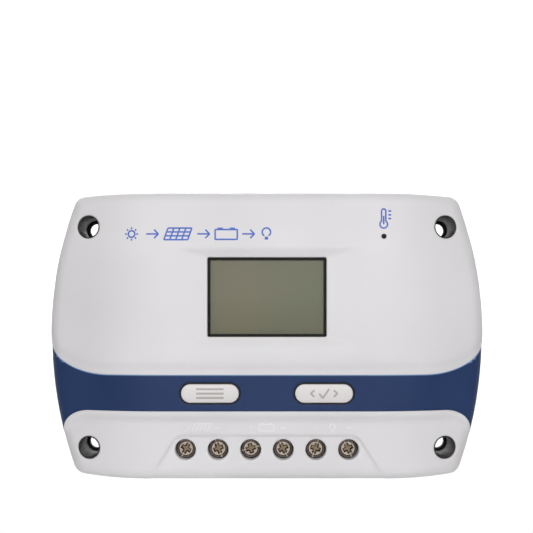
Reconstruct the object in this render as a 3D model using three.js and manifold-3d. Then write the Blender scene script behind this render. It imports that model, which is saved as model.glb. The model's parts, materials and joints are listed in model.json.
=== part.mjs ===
// Wall-mounted charge controller for a solar battery system, in millimetres.
// It is drawn lying on its back: x runs along the width, y up the front, and z from the wall
// towards the user. The exported group then stands it up, with its back on the plane y = 0.
import * as THREE from "three";
import { mergeVertices } from "three/addons/utils/BufferGeometryUtils.js";
import Module from "manifold-3d";

const wasm = await Module();
wasm.setup();

// ---- Driving dimensions ----

// The case outline: two bulging sides, nearly straight ends, rounded corners. y = 0 is halfway
// between the upper and the lower wall screws, a little below the middle of the case.
const CASE = {
  width: 153,
  topY: 50,
  bottomY: -49,
  sideRadius: 127,
  sideCentreY: 0.3,
  topFlatHalf: 41,
  topRadius: 400,
  bottomFlatHalf: 44,
  bottomRadius: 216,
  cornerRadius: 4.5,
  edgeRadius: 4,
  wall: 2.6,
  partingZ: 5,
};

// Heights of the front above the wall, and where the front changes slope.
const FRONT = {
  crownZ: 38.5,
  bandZ: 37.4,
  terminalZ: 35.6,
  plateauHalf: 40,
  bendRadius: 30,
  sideSlope: THREE.MathUtils.degToRad(28),
  crownTopY: 27,
  topRadius: 36,
  creaseY: -8.6,
  lipY: -11.3,
  shoulderY: -26.7,
  footY: -29,
};

// The blue strip: straight across the front, flaring to the sides along quarter ellipses.
const BAND = {
  topY: -12.7,
  bottomY: -25.3,
  channel: 1.3,
  thickness: 1,
  sunk: 0.2,
  edgeGap: 0.1,
  topFlare: { x: 55, rx: 21.5, ry: 12.4 },
  bottomFlare: { x: 62, rx: 9.6, ry: 7 },
};

const DISPLAY = {
  y: 14,
  width: 41,
  height: 27.4,
  border: 1,
  recessWidth: 66,
  recessHeight: 34.3,
  recessMargin: 1,
  recessZ: 37.1,
};

const BUTTON = { x: 19.6, y: -19.1, width: 21.1, height: 7.6, gap: 0.4, topZ: 37.9 };

const TERMINAL = {
  count: 6,
  pitch: 11.27,
  y: -38.65,
  wellRadius: 3.6,
  wellOuter: 5,
  wellBottomZ: 27.7,
  headRadius: 3.3,
  headBottomZ: 27.4,
  headTopZ: 29.6,
  shankRadius: 1.9,
  tipZ: 19.9,
};

// The shallow panel round the terminal screws, wider at the bottom edge.
const PANEL = { topY: -33.8, topHalf: 30, bottomHalf: 40.2, depth: 0.7, corner: 2 };

const MOUNT = {
  x: 62.2,
  y: 38.45,
  rimRadius: 4.05,
  collarRadius: 3.95,
  wellRadius: 3.6,
  holeRadius: 2.5,
  sleeveOuter: 5.5,
  floorZ: 2.5,
};

const BASE = { inset: 0.6, thickness: 4.7, grooves: 10, groovePitch: 9, grooveWidth: 3.6, grooveDepth: 2 };

const CASE_SCREW = { x: 69.5, y: 16, boss: 3.6, pilot: 1.8, shank: 1.5, head: 2.8, seatZ: 2.4, tipZ: 16 };

const BOARD = { halfWidth: 55, bottomY: -45.8, topY: 46, backZ: 10.5, thickness: 1.6 };

const DISPLAY_BOARD = { halfWidth: 31, bottomY: -27, topY: 33, backZ: 26, thickness: 1.6 };

const SENSOR = { x: 40.2, y: 34.9, holeRadius: 0.9, beadRadius: 0.6, leadGap: 0.9 };

const GAP = 0.1; // between pieces that rest on each other
const FREE = 0.3; // between pieces that move past each other

const boardTopZ = BOARD.backZ + BOARD.thickness;
const displayBoardTopZ = DISPLAY_BOARD.backZ + DISPLAY_BOARD.thickness;
const terminalXs = [];
for (let i = 0; i < TERMINAL.count; i += 1) {
  terminalXs.push((i - (TERMINAL.count - 1) / 2) * TERMINAL.pitch);
}

function spread(from, to, steps) {
  return Array.from({ length: steps + 1 }, (_, i) => from + ((to - from) * i) / steps);
}

// ---- Solids ----

// A closed three.js geometry as a manifold-3d solid.
function solid(geometry) {
  const bare = geometry.clone();
  bare.deleteAttribute("normal");
  bare.deleteAttribute("uv");
  const merged = mergeVertices(bare, 1e-4);
  return new wasm.Manifold(
    new wasm.Mesh({
      numProp: 3,
      vertProperties: new Float32Array(merged.attributes.position.array),
      triVerts: new Uint32Array(merged.index.array),
    }),
  );
}

// A manifold-3d solid as a three.js geometry.
function geometryOf(made) {
  const mesh = made.getMesh();
  const positions = new Float32Array(mesh.numVert * 3);
  for (let i = 0; i < mesh.numVert; i += 1) {
    positions.set(mesh.vertProperties.subarray(i * mesh.numProp, i * mesh.numProp + 3), i * 3);
  }
  const geometry = new THREE.BufferGeometry();
  geometry.setAttribute("position", new THREE.BufferAttribute(positions, 3));
  geometry.setIndex(new THREE.BufferAttribute(new Uint32Array(mesh.triVerts), 1));
  geometry.computeVertexNormals();
  return geometry;
}

function prism(shape, z0, z1, curveSegments = 4) {
  const settings = { depth: z1 - z0, bevelEnabled: false, curveSegments };
  return solid(new THREE.ExtrudeGeometry(shape, settings).translate(0, 0, z0));
}

function box(x0, x1, y0, y1, z0, z1) {
  const geometry = new THREE.BoxGeometry(x1 - x0, y1 - y0, z1 - z0);
  return solid(geometry.translate((x0 + x1) / 2, (y0 + y1) / 2, (z0 + z1) / 2));
}

// A box centred on x and y.
function block(x, y, width, height, z0, z1) {
  return box(x - width / 2, x + width / 2, y - height / 2, y + height / 2, z0, z1);
}

function disc(x, y, radius, z0, z1, sides = 24) {
  const circle = new THREE.Shape();
  circle.absarc(x, y, radius, 0, 2 * Math.PI);
  return prism(circle, z0, z1, sides / 2);
}

function pill(x, y, width, height) {
  const radius = height / 2;
  const reach = width / 2 - radius;
  const shape = new THREE.Shape();
  shape.absarc(x + reach, y, radius, -Math.PI / 2, Math.PI / 2);
  shape.absarc(x - reach, y, radius, Math.PI / 2, (3 * Math.PI) / 2);
  return shape;
}

function joined(solids) {
  return solids.reduce((sum, next) => sum.add(next));
}

function cut(body, tools) {
  return tools.reduce((rest, tool) => rest.subtract(tool), body);
}

// ---- The case form ----

// Centre of the circle that touches circles a and b from inside, on their right-hand side.
function filletCentre(a, b, radius) {
  const reachA = a.radius - radius;
  const reachB = b.radius - radius;
  const dx = b.x - a.x;
  const dy = b.y - a.y;
  const apart = Math.hypot(dx, dy);
  const along = (reachA ** 2 - reachB ** 2 + apart ** 2) / (2 * apart);
  const across = Math.sqrt(reachA ** 2 - along ** 2);
  const options = [-1, 1].map((side) => ({
    x: a.x + (along * dx - side * across * dy) / apart,
    y: a.y + (along * dy + side * across * dx) / apart,
  }));
  return options[0].x > options[1].x ? options[0] : options[1];
}

// Points round the case outline, drawn inwards by inset all round; every inset has as many.
function outlinePoints(inset) {
  const side = { x: CASE.width / 2 - CASE.sideRadius, y: CASE.sideCentreY, radius: CASE.sideRadius };
  const top = { x: CASE.topFlatHalf, y: CASE.topY - CASE.topRadius, radius: CASE.topRadius };
  const bottom = {
    x: CASE.bottomFlatHalf,
    y: CASE.bottomY + CASE.bottomRadius,
    radius: CASE.bottomRadius,
  };
  const upper = { ...filletCentre(side, top, CASE.cornerRadius), radius: CASE.cornerRadius };
  const lower = { ...filletCentre(side, bottom, CASE.cornerRadius), radius: CASE.cornerRadius };
  const angle = (circle, fillet) => Math.atan2(fillet.y - circle.y, fillet.x - circle.x);
  const right = [];
  const follow = (circle, start, end, steps) => {
    for (const turn of spread(start, end, steps)) {
      const reach = circle.radius - inset;
      right.push(new THREE.Vector2(circle.x + reach * Math.cos(turn), circle.y + reach * Math.sin(turn)));
    }
  };
  follow(bottom, -Math.PI / 2, angle(bottom, lower), 3);
  right.pop();
  follow(lower, angle(bottom, lower), angle(side, lower), 4);
  right.pop();
  follow(side, angle(side, lower), angle(side, upper), 8);
  right.pop();
  follow(upper, angle(side, upper), angle(top, upper), 4);
  right.pop();
  follow(top, angle(top, upper), Math.PI / 2, 3);
  const left = right.map((point) => new THREE.Vector2(-point.x, point.y));
  return [...right, ...left.reverse()];
}

function caseOutline(inset) {
  return new THREE.Shape(outlinePoints(inset));
}

// How far a circle of this radius has fallen, a distance along from its top.
function arcDrop(distance, radius) {
  const along = Math.max(0, distance);
  return radius - Math.sqrt(radius ** 2 - along ** 2);
}

// How far the edge of the blue strip has swung away from its straight middle at this x.
function flareSwing(x, flare) {
  const along = THREE.MathUtils.clamp((Math.abs(x) - flare.x) / flare.rx, 0, 0.97);
  return flare.ry * (1 - Math.sqrt(1 - along ** 2));
}

// The heights up the front at which its slope changes; they follow the blue strip's edges.
function bendYs(x) {
  const up = flareSwing(x, BAND.topFlare);
  const down = flareSwing(x, BAND.bottomFlare);
  return {
    crease: FRONT.creaseY + up,
    lip: FRONT.lipY + up,
    shoulder: FRONT.shoulderY - down,
    foot: FRONT.footY - down,
  };
}

// Height of the front above the wall, before its sides fall away.
function profileZ(x, y) {
  const { crease, lip, shoulder, foot } = bendYs(x);
  if (y >= crease) return FRONT.crownZ - arcDrop(y - FRONT.crownTopY, FRONT.topRadius);
  if (y >= lip) return THREE.MathUtils.mapLinear(y, lip, crease, FRONT.bandZ, FRONT.crownZ);
  if (y >= shoulder) return FRONT.bandZ;
  if (y <= foot) return FRONT.terminalZ;
  return THREE.MathUtils.mapLinear(y, foot, shoulder, FRONT.terminalZ, FRONT.bandZ);
}

// How far the front has fallen at this x: level, then a soft bend, then a straight slope.
function sideDrop(x) {
  const along = Math.abs(x) - FRONT.plateauHalf;
  const bend = FRONT.bendRadius * Math.sin(FRONT.sideSlope);
  const straight = Math.max(0, along - bend) * Math.tan(FRONT.sideSlope);
  return arcDrop(Math.min(along, bend), FRONT.bendRadius) + straight;
}

function frontZ(x, y) {
  return profileZ(x, y) - sideDrop(x);
}

// Everything under the front surface, lowered by drop: a grid block with the front as its top.
function underFront(drop) {
  const beyond = 1.5;
  const edgeX = CASE.width / 2 + beyond;
  const topEdge = CASE.topY + beyond;
  const bottomEdge = CASE.bottomY - beyond;
  const bendEnd = FRONT.plateauHalf + FRONT.bendRadius * Math.sin(FRONT.sideSlope);
  const outerXs = [...spread(FRONT.plateauHalf, bendEnd, 3), ...spread(BAND.topFlare.x + 5, edgeX, 5)];
  const xs = [...outerXs.map((x) => -x).reverse(), ...outerXs];
  const rowsAt = (x) => {
    const { foot, shoulder, lip, crease } = bendYs(x);
    return [bottomEdge, foot, shoulder, lip, crease, ...spread(FRONT.crownTopY, topEdge, 5)];
  };
  const columns = xs.length;
  const rows = rowsAt(0).length;
  const layer = columns * rows;
  const positions = [];
  for (const top of [true, false]) {
    for (let row = 0; row < rows; row += 1) {
      for (const x of xs) {
        const y = rowsAt(x)[row];
        positions.push(x, y, top ? frontZ(x, y) - drop : 0);
      }
    }
  }
  const index = [];
  const quad = (a, b, c, d) => index.push(a, b, c, a, c, d);
  for (let row = 0; row < rows - 1; row += 1) {
    for (let column = 0; column < columns - 1; column += 1) {
      const a = row * columns + column;
      quad(a, a + 1, a + columns + 1, a + columns);
      quad(layer + a, layer + a + columns, layer + a + columns + 1, layer + a + 1);
    }
    const left = row * columns;
    const right = left + columns - 1;
    quad(left, left + columns, layer + left + columns, layer + left);
    quad(right + columns, right, layer + right, layer + right + columns);
  }
  for (let column = 0; column < columns - 1; column += 1) {
    const last = layer - columns + column;
    quad(column + 1, column, layer + column, layer + column + 1);
    quad(last, last + 1, layer + last + 1, layer + last);
  }
  const geometry = new THREE.BufferGeometry();
  geometry.setAttribute("position", new THREE.Float32BufferAttribute(positions, 3));
  geometry.setIndex(index);
  return solid(geometry);
}

// The case outline as an upright block whose upper edge is rounded just where the front meets it.
function roundedBlock(inset, z0) {
  const radius = Math.max(0.5, CASE.edgeRadius - inset);
  const levels = [{ inset, z: () => z0 }];
  for (const turn of spread(0, Math.PI / 2, 3)) {
    const drop = inset + radius * (1 - Math.sin(turn));
    levels.push({ inset: inset + radius * (1 - Math.cos(turn)), z: (x, y) => frontZ(x, y) - drop });
  }
  levels.push({ inset: inset + radius, z: () => FRONT.crownZ + 5 });
  const rings = levels.map((level) =>
    outlinePoints(level.inset).map((point) => [point.x, point.y, level.z(point.x, point.y)]),
  );
  const count = rings[0].length;
  const positions = [...rings.flat(2), 0, 0, z0, 0, 0, FRONT.crownZ + 5];
  const bottomCentre = count * rings.length;
  const lastRing = count * (rings.length - 1);
  const index = [];
  for (let i = 0; i < count; i += 1) {
    const next = (i + 1) % count;
    index.push(bottomCentre, next, i, bottomCentre + 1, lastRing + i, lastRing + next);
    for (let start = 0; start < lastRing; start += count) {
      index.push(start + i, start + next, start + count + next);
      index.push(start + i, start + count + next, start + count + i);
    }
  }
  const geometry = new THREE.BufferGeometry();
  geometry.setAttribute("position", new THREE.Float32BufferAttribute(positions, 3));
  geometry.setIndex(index);
  return solid(geometry);
}

// The outer form of the case, drawn inwards by inset, from z0 to the front.
function caseForm(inset, z0) {
  return roundedBlock(inset, z0).intersect(underFront(inset));
}

// ---- Cover and band ----

function bandShape(shrink) {
  const top = BAND.topY - shrink;
  const bottom = BAND.bottomY + shrink;
  const over = CASE.width / 2 + 3;
  const up = BAND.topFlare;
  const down = BAND.bottomFlare;
  const quarter = Math.PI / 2;
  const shape = new THREE.Shape();
  shape.moveTo(-over, top + up.ry);
  shape.lineTo(-over, bottom - down.ry);
  shape.absellipse(-down.x, bottom - down.ry, down.rx, down.ry, 2 * quarter, quarter, true);
  shape.absellipse(down.x, bottom - down.ry, down.rx, down.ry, quarter, 0, true);
  shape.lineTo(over, bottom - down.ry);
  shape.lineTo(over, top + up.ry);
  shape.absellipse(up.x, top + up.ry, up.rx, up.ry, 0, -quarter, true);
  shape.absellipse(-up.x, top + up.ry, up.rx, up.ry, 3 * quarter, 2 * quarter, true);
  return shape;
}

function buttonSlots() {
  return [-1, 1].map((side) =>
    prism(pill(side * BUTTON.x, BUTTON.y, BUTTON.width, BUTTON.height), 30, 45, 8),
  );
}

// The sloping recess round the display: a blunt pyramid, wide end outwards.
function displayRecess() {
  const rise = FRONT.crownZ - DISPLAY.recessZ;
  const innerX = DISPLAY.width / 2 + DISPLAY.recessMargin;
  const innerY = DISPLAY.height / 2 + DISPLAY.recessMargin / 2;
  const overshoot = 2;
  const outerX = innerX + (DISPLAY.recessWidth / 2 - innerX) * overshoot;
  const outerY = innerY + (DISPLAY.recessHeight / 2 - innerY) * overshoot;
  const geometry = new THREE.BoxGeometry(2, 2, 1).toNonIndexed();
  const position = geometry.getAttribute("position");
  for (let i = 0; i < position.count; i += 1) {
    const wide = position.getZ(i) > 0;
    position.setXYZ(
      i,
      position.getX(i) * (wide ? outerX : innerX),
      DISPLAY.y + position.getY(i) * (wide ? outerY : innerY),
      DISPLAY.recessZ + (wide ? rise * overshoot : 0),
    );
  }
  return solid(geometry);
}

function terminalPanel() {
  const shape = new THREE.Shape();
  const below = CASE.bottomY - 1;
  const { topY, topHalf, bottomHalf, corner } = PANEL;
  shape.moveTo(-bottomHalf, below);
  shape.lineTo(bottomHalf, below);
  shape.lineTo(topHalf + corner / 2, topY - corner);
  shape.quadraticCurveTo(topHalf, topY, topHalf - corner, topY);
  shape.lineTo(-topHalf + corner, topY);
  shape.quadraticCurveTo(-topHalf, topY, -topHalf - corner / 2, topY - corner);
  return prism(shape, FRONT.terminalZ - PANEL.depth, 45, 4);
}

function atCorners(x, y) {
  return [
    { name: "top_left", x: -x, y },
    { name: "top_right", x, y },
    { name: "bottom_left", x: -x, y: -y },
    { name: "bottom_right", x, y: -y },
  ];
}

const mountPlaces = atCorners(MOUNT.x, MOUNT.y);
const screwPlaces = atCorners(CASE_SCREW.x, CASE_SCREW.y);
const WIRE_WINDOW = { halfWidth: 3.8, z0: 13.6, z1: 21.4 };

function frontCover() {
  const outer = caseForm(0, CASE.partingZ);
  const inner = caseForm(CASE.wall, CASE.partingZ - 1);
  const posts = [-1, 1].flatMap((side) => [
    disc(side * 28, 30, 2, displayBoardTopZ + GAP, 45, 12),
    disc(side * 28, -8, 2, displayBoardTopZ + GAP, 45, 12),
  ]);
  const wells = terminalXs.map((x) =>
    disc(x, TERMINAL.y, TERMINAL.wellOuter, TERMINAL.wellBottomZ, 45, 24),
  );
  const bosses = screwPlaces.map(({ x, y }) => disc(x, y, CASE_SCREW.boss, CASE.partingZ, 45, 16));
  const inside = joined([...posts, ...wells, ...bosses]).intersect(outer);
  const channelFloor = caseForm(BAND.channel, 0);
  const channel = prism(bandShape(0), 0, 45, 10).subtract(channelFloor);
  const edge = CASE.bottomY;
  const { halfWidth, z0, z1 } = WIRE_WINDOW;
  const windows = terminalXs.map((x) => box(x - halfWidth, x + halfWidth, edge - 1, edge + 3, z0, z1));
  return cut(outer.subtract(inner).add(inside), [
    channel,
    displayRecess(),
    block(0, DISPLAY.y, DISPLAY.width, DISPLAY.height, 30, 45),
    ...buttonSlots(),
    terminalPanel(),
    ...terminalXs.map((x) => disc(x, TERMINAL.y, TERMINAL.wellRadius, 20, 45, 24)),
    ...mountPlaces.map(({ x, y }) => disc(x, y, MOUNT.rimRadius, 0, 45, 24)),
    ...screwPlaces.map(({ x, y }) => disc(x, y, CASE_SCREW.pilot, 0, CASE_SCREW.tipZ + 1, 12)),
    disc(SENSOR.x, SENSOR.y, SENSOR.holeRadius, 30, 45, 12),
    ...windows,
  ]);
}

function accentBand() {
  const skin = caseForm(BAND.sunk, CASE.partingZ).subtract(caseForm(BAND.sunk + BAND.thickness, 0));
  return cut(skin.intersect(prism(bandShape(BAND.edgeGap), 0, 45, 10)), buttonSlots());
}

// ---- Base and mounting sleeves ----

function heatsinkBase() {
  const plate = prism(caseOutline(BASE.inset), 0, BASE.thickness);
  const grooves = [];
  for (let i = 0; i < BASE.grooves; i += 1) {
    const x = (i - (BASE.grooves - 1) / 2) * BASE.groovePitch;
    grooves.push(block(x, 0, BASE.grooveWidth, 62, -1, BASE.grooveDepth));
  }
  return cut(plate, [
    ...grooves,
    ...mountPlaces.map(({ x, y }) => disc(x, y, MOUNT.holeRadius, -1, 6, 24)),
    ...mountPlaces.map(({ x, y }) => disc(x, y, MOUNT.sleeveOuter + FREE, MOUNT.floorZ, 6, 24)),
    ...screwPlaces.map(({ x, y }) => disc(x, y, CASE_SCREW.pilot, -1, 6, 16)),
    ...screwPlaces.map(({ x, y }) => disc(x, y, CASE_SCREW.head + FREE, -1, CASE_SCREW.seatZ, 16)),
  ]);
}

// A tube from the base to the cover, whose thinner collar lines the hole in the cover.
function mountSleeve({ x, y }) {
  const foot = MOUNT.floorZ + GAP;
  const tube = disc(x, y, MOUNT.sleeveOuter, foot, 45, 24).intersect(caseForm(CASE.wall + FREE, 0));
  const collar = disc(x, y, MOUNT.collarRadius, foot, 45, 24).intersect(caseForm(FREE, 0));
  return tube.add(collar).subtract(disc(x, y, MOUNT.wellRadius, 0, 46, 24));
}

function caseScrew({ x, y }) {
  const head = disc(x, y, CASE_SCREW.head, 0.6, CASE_SCREW.seatZ - GAP, 16);
  const shank = disc(x, y, CASE_SCREW.shank, 1, CASE_SCREW.tipZ, 12);
  const slots = [block(x, y, 3.2, 0.7, 0, 1.5), block(x, y, 0.7, 3.2, 0, 1.5)];
  return cut(head.add(shank), slots);
}

// ---- Display ----

const lensTopZ = DISPLAY.recessZ - GAP;
const lensBackZ = lensTopZ - 1.5;

function displayLens() {
  return block(0, DISPLAY.y, DISPLAY.width - 0.3, DISPLAY.height - 0.3, lensBackZ, lensTopZ);
}

function lensMask() {
  const frontFace = lensBackZ - GAP;
  const backFace = frontFace - 0.3;
  const { width, height, border } = DISPLAY;
  const sheet = block(0, DISPLAY.y, width - 0.3, height - 0.3, backFace, frontFace);
  return sheet.subtract(block(0, DISPLAY.y, width - 2 * border, height - 2 * border, 30, 45));
}

function lcdPanel() {
  return block(0, DISPLAY.y, 45, 31, 32, lensBackZ - 0.5);
}

function lcdBacklight() {
  return block(0, DISPLAY.y, 45, 31, displayBoardTopZ + GAP, 31.9);
}

// ---- Buttons and their switches ----

const SWITCH = { side: 6, topZ: 31.2, cavityZ: 29.2, plungerRadius: 1.7, plungerTopZ: 32.2, travel: 0.6 };

function buttonCap(x) {
  const { y, width, height, gap, topZ } = BUTTON;
  const flangeZ = 33.2;
  const cap = prism(pill(x, y, width - 2 * gap, height - 2 * gap), flangeZ, topZ - 0.3, 8);
  const crown = prism(pill(x, y, width - 2 * gap - 1, height - 2 * gap - 1), flangeZ, topZ, 8);
  const flange = block(x, y, width + 1.6, height + 1.6, flangeZ, flangeZ + 1);
  const stem = disc(x, y, 2, SWITCH.plungerTopZ + GAP, flangeZ + 1, 12);
  return joined([cap, crown, flange, stem]);
}

function switchBody(x) {
  const body = block(x, BUTTON.y, SWITCH.side, SWITCH.side, displayBoardTopZ + GAP, SWITCH.topZ);
  return body.subtract(disc(x, BUTTON.y, SWITCH.plungerRadius + FREE, SWITCH.cavityZ, 34, 16));
}

function switchPlunger(x) {
  const restZ = SWITCH.cavityZ + FREE + SWITCH.travel;
  return disc(x, BUTTON.y, SWITCH.plungerRadius, restZ, SWITCH.plungerTopZ, 16);
}

// ---- Boards and what is on them ----

const legPlaces = atCorners(50, 39);

function mainBoard() {
  const { halfWidth, bottomY, topY, backZ } = BOARD;
  const board = box(-halfWidth, halfWidth, bottomY, topY, backZ, boardTopZ);
  return cut(board, legPlaces.map(({ x, y }) => disc(x, y, 1.6, 5, 15, 12)));
}

function boardStandoff({ x, y }) {
  const hexagon = disc(x, y, 2.9, BASE.thickness + GAP, BOARD.backZ - GAP, 6);
  return hexagon.subtract(disc(x, y, 1.3, 6, 12, 12));
}

function displayBoard() {
  const { halfWidth, bottomY, topY, backZ } = DISPLAY_BOARD;
  return box(-halfWidth, halfWidth, bottomY, topY, backZ, displayBoardTopZ);
}

// Two plastic strips with the pins that join the boards.
function boardHeader() {
  const z0 = boardTopZ + GAP;
  const z1 = DISPLAY_BOARD.backZ - GAP;
  const strips = [block(0, -16, 24, 2.5, z0, z0 + 2.5), block(0, -16, 24, 2.5, z1 - 2.5, z1)];
  const pins = spread(-10, 10, 7).map((x) => block(x, -16, 0.7, 0.7, z0 + 1, z1 - 1));
  return joined([...strips, ...pins]);
}

// A power transistor lying on the base, its legs bent up to the board.
function mosfet(x) {
  const z = BASE.thickness + GAP;
  const body = block(x, 16, 10, 9, z, z + 4.4);
  const tab = block(x, 23.4, 10, 6.4, z, z + 1.3).subtract(disc(x, 23.4, 1.8, 0, 10, 12));
  const legs = [-2.54, 0, 2.54].flatMap((step) => [
    block(x + step, 10, 0.8, 4, z + 2, z + 2.5),
    block(x + step, 8.3, 0.8, 0.6, z + 2, BOARD.backZ - GAP),
  ]);
  return joined([body, tab, ...legs]);
}

function capacitor(x) {
  const can = disc(x, -6, 6, boardTopZ + GAP + 0.5, boardTopZ + 20, 24);
  return can.add(disc(x, -6, 5.6, boardTopZ + GAP, boardTopZ + 2, 24));
}

function microcontroller() {
  const pads = block(0, 4, 9, 9, boardTopZ + GAP, boardTopZ + 0.5);
  return pads.add(block(0, 4, 8, 8, boardTopZ + GAP, boardTopZ + 1.3));
}

// A bent strip of resistance metal that the current flows through.
function currentShunt() {
  const z = boardTopZ + GAP;
  const bridge = block(0, -24, 24, 3, z + 3.4, z + 4.4);
  const feet = [-11.5, 11.5].map((x) => block(x, -24, 1, 3, z, z + 4));
  return joined([bridge, ...feet]);
}

// A bead on two leads, behind its hole in the cover.
function temperatureSensor() {
  const { x, y, beadRadius, leadGap } = SENSOR;
  const beadZ = frontZ(x, y) - 1.7;
  const bead = solid(new THREE.SphereGeometry(beadRadius, 12, 8).translate(x, y, beadZ));
  const yokeZ = frontZ(x, y) - CASE.wall - 1.2;
  const leads = [-1, 1].map((side) => block(x + side * leadGap, y, 0.5, 0.5, boardTopZ + GAP, yokeZ));
  const yoke = block(x, y, 2 * leadGap + 0.5, 0.8, yokeZ - 0.4, yokeZ + 0.4);
  return joined([bead, yoke, block(x, y, 0.5, 0.5, yokeZ, beadZ), ...leads]);
}

// ---- Terminals ----

const BLOCK = { bottomY: -46.1, topY: -31.2, z0: boardTopZ + GAP, z1: 27.1, endWall: 2 };
const CHAMBER = { halfWidth: 4.4, y0: -44.7, y1: -32.9, z0: 13.4, z1: 25.9 };
const CAGE = { halfWidth: 4.1, y0: -42.6, y1: -34.8, z0: 13.7, z1: 23.2, wall: 1.2, nut: 2 };
const TONGUE = { halfWidth: 2.5, z0: 18.4, z1: 19.4, y0: -42.6, legY0: -34.3, legY1: -33.2 };

function terminalBlock() {
  const reach = (TERMINAL.pitch * (TERMINAL.count - 1)) / 2 + CHAMBER.halfWidth + BLOCK.endWall;
  const body = box(-reach, reach, BLOCK.bottomY, BLOCK.topY, BLOCK.z0, BLOCK.z1);
  const hollows = terminalXs.flatMap((x) => [
    box(x - CHAMBER.halfWidth, x + CHAMBER.halfWidth, CHAMBER.y0, CHAMBER.y1, CHAMBER.z0, CHAMBER.z1),
    box(x - 3.8, x + 3.8, BLOCK.bottomY - 1, CHAMBER.y0 + 1, WIRE_WINDOW.z0, WIRE_WINDOW.z1),
    box(x - 3.2, x + 3.2, TONGUE.legY0 - FREE, CHAMBER.y1, BLOCK.z0 - 1, CHAMBER.z0 + 1),
    disc(x, TERMINAL.y, TERMINAL.shankRadius + FREE, CHAMBER.z1 - 1, BLOCK.z1 + 1, 16),
  ]);
  return cut(body, hollows);
}

// A terminal screw with a cross recess and a through slot, turned to its own angle.
function terminalScrew(x, turn) {
  const { y, headRadius, headBottomZ, headTopZ, shankRadius, tipZ } = TERMINAL;
  const profile = [
    [0, tipZ],
    [shankRadius - 0.5, tipZ],
    [shankRadius, tipZ + 0.5],
    [shankRadius, headBottomZ],
    [headRadius, headBottomZ],
    [headRadius, headTopZ - 0.5],
    [headRadius - 0.7, headTopZ],
    [0, headTopZ],
  ].map(([r, z]) => new THREE.Vector2(r, z));
  const body = solid(new THREE.LatheGeometry(profile, 18).rotateX(Math.PI / 2));
  const tools = [
    block(0, 0, 8, 0.8, headTopZ - 0.8, headTopZ + 1),
    block(0, 0, 4, 1, headTopZ - 1.4, headTopZ + 1),
    block(0, 0, 1, 4, headTopZ - 1.4, headTopZ + 1),
  ];
  const made = cut(body, tools);
  return solid(geometryOf(made).rotateZ(turn).translate(x, y, 0));
}

// The lifting cage that clamps the wire: its upper wall is the nut.
function clampCage(x) {
  const { halfWidth, y0, y1, z0, z1, wall, nut } = CAGE;
  const body = box(x - halfWidth, x + halfWidth, y0, y1, z0, z1);
  return cut(body, [
    box(x - halfWidth + wall, x + halfWidth - wall, y0 - 1, y1 + 1, z0 + wall, z1 - nut),
    disc(x, TERMINAL.y, TERMINAL.shankRadius + FREE, z1 - nut - 1, z1 + 1, 16),
  ]);
}

// The tongue that the wire is pressed against, with its leg down to the board.
function terminalContact(x) {
  const { halfWidth, z0, z1, y0, legY0, legY1 } = TONGUE;
  const tongue = box(x - halfWidth, x + halfWidth, y0, legY1, z0, z1);
  const leg = box(x - halfWidth, x + halfWidth, legY0, legY1, boardTopZ + GAP, z1);
  return tongue.add(leg);
}

// ---- Materials ----

function finish(color, roughness, metalness = 0, more = {}) {
  return new THREE.MeshStandardMaterial({ color, roughness, metalness, ...more });
}

const whiteAbs = finish("#dcdadd", 0.5);
const blueAbs = finish("#31416a", 0.5);
const blackMetal = finish("#1a1a1b", 0.55, 0.4);
const blackPlastic = finish("#201e1f", 0.5);
const clearAcrylic = finish("#e8ece8", 0.05, 0, { transparent: true, opacity: 0.3 });
const maskInk = finish("#0b0c0c", 0.4);
const lcdGlass = finish("#7d7d6c", 0.35);
const diffuser = finish("#e9ead8", 0.6);
const buttonWhite = finish("#ded9d7", 0.45);
const steel = finish("#8d8a86", 0.3, 1);
const nickel = finish("#9a8f84", 0.32, 1);
const brass = finish("#b89a58", 0.35, 1);
const tinnedCopper = finish("#b9b3aa", 0.3, 1);
const greenBoard = finish("#1f5a38", 0.5);
const blockPlastic = finish("#2c2d2f", 0.6);
const sleeveCan = finish("#23304f", 0.4);

// ---- The assembly ----

const controller = new THREE.Group();

function place(name, made, material) {
  const mesh = new THREE.Mesh(geometryOf(made), material);
  mesh.name = name;
  controller.add(mesh);
}

place("front_cover", frontCover(), whiteAbs);
place("accent_band", accentBand(), blueAbs);
place("heatsink_base", heatsinkBase(), blackMetal);
place("display_lens", displayLens(), clearAcrylic);
place("lens_mask", lensMask(), maskInk);
place("lcd_panel", lcdPanel(), lcdGlass);
place("lcd_backlight", lcdBacklight(), diffuser);
place("display_board", displayBoard(), greenBoard);
place("main_board", mainBoard(), greenBoard);
place("board_header", boardHeader(), blackPlastic);
place("microcontroller", microcontroller(), blackPlastic);
place("current_shunt", currentShunt(), tinnedCopper);
place("temperature_sensor", temperatureSensor(), blackPlastic);
place("terminal_block", terminalBlock(), blockPlastic);

for (const [name, side] of [["menu", -1], ["set", 1]]) {
  const x = side * BUTTON.x;
  place(name + "_button", buttonCap(x), buttonWhite);
  place(name + "_switch", switchBody(x), blackPlastic);
  place(name + "_plunger", switchPlunger(x), blackPlastic);
  place("capacitor_" + name + "_side", capacitor(side * 44), sleeveCan);
}

for (const spot of mountPlaces) {
  place("mount_sleeve_" + spot.name, mountSleeve(spot), blackPlastic);
}
for (const spot of screwPlaces) {
  place("case_screw_" + spot.name, caseScrew(spot), steel);
}
for (const spot of legPlaces) {
  place("board_standoff_" + spot.name, boardStandoff(spot), brass);
}

[-33, -11, 11, 33].forEach((x, i) => place("mosfet_" + (i + 1), mosfet(x), blackPlastic));

// Each screw was left at its own angle when it was last tightened.
const screwTurns = [62, -68, 14, -62, 70, -65].map(THREE.MathUtils.degToRad);
terminalXs.forEach((x, i) => {
  place("terminal_screw_" + (i + 1), terminalScrew(x, screwTurns[i]), nickel);
  place("clamp_cage_" + (i + 1), clampCage(x), nickel);
  place("terminal_contact_" + (i + 1), terminalContact(x), tinnedCopper);
});

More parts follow.
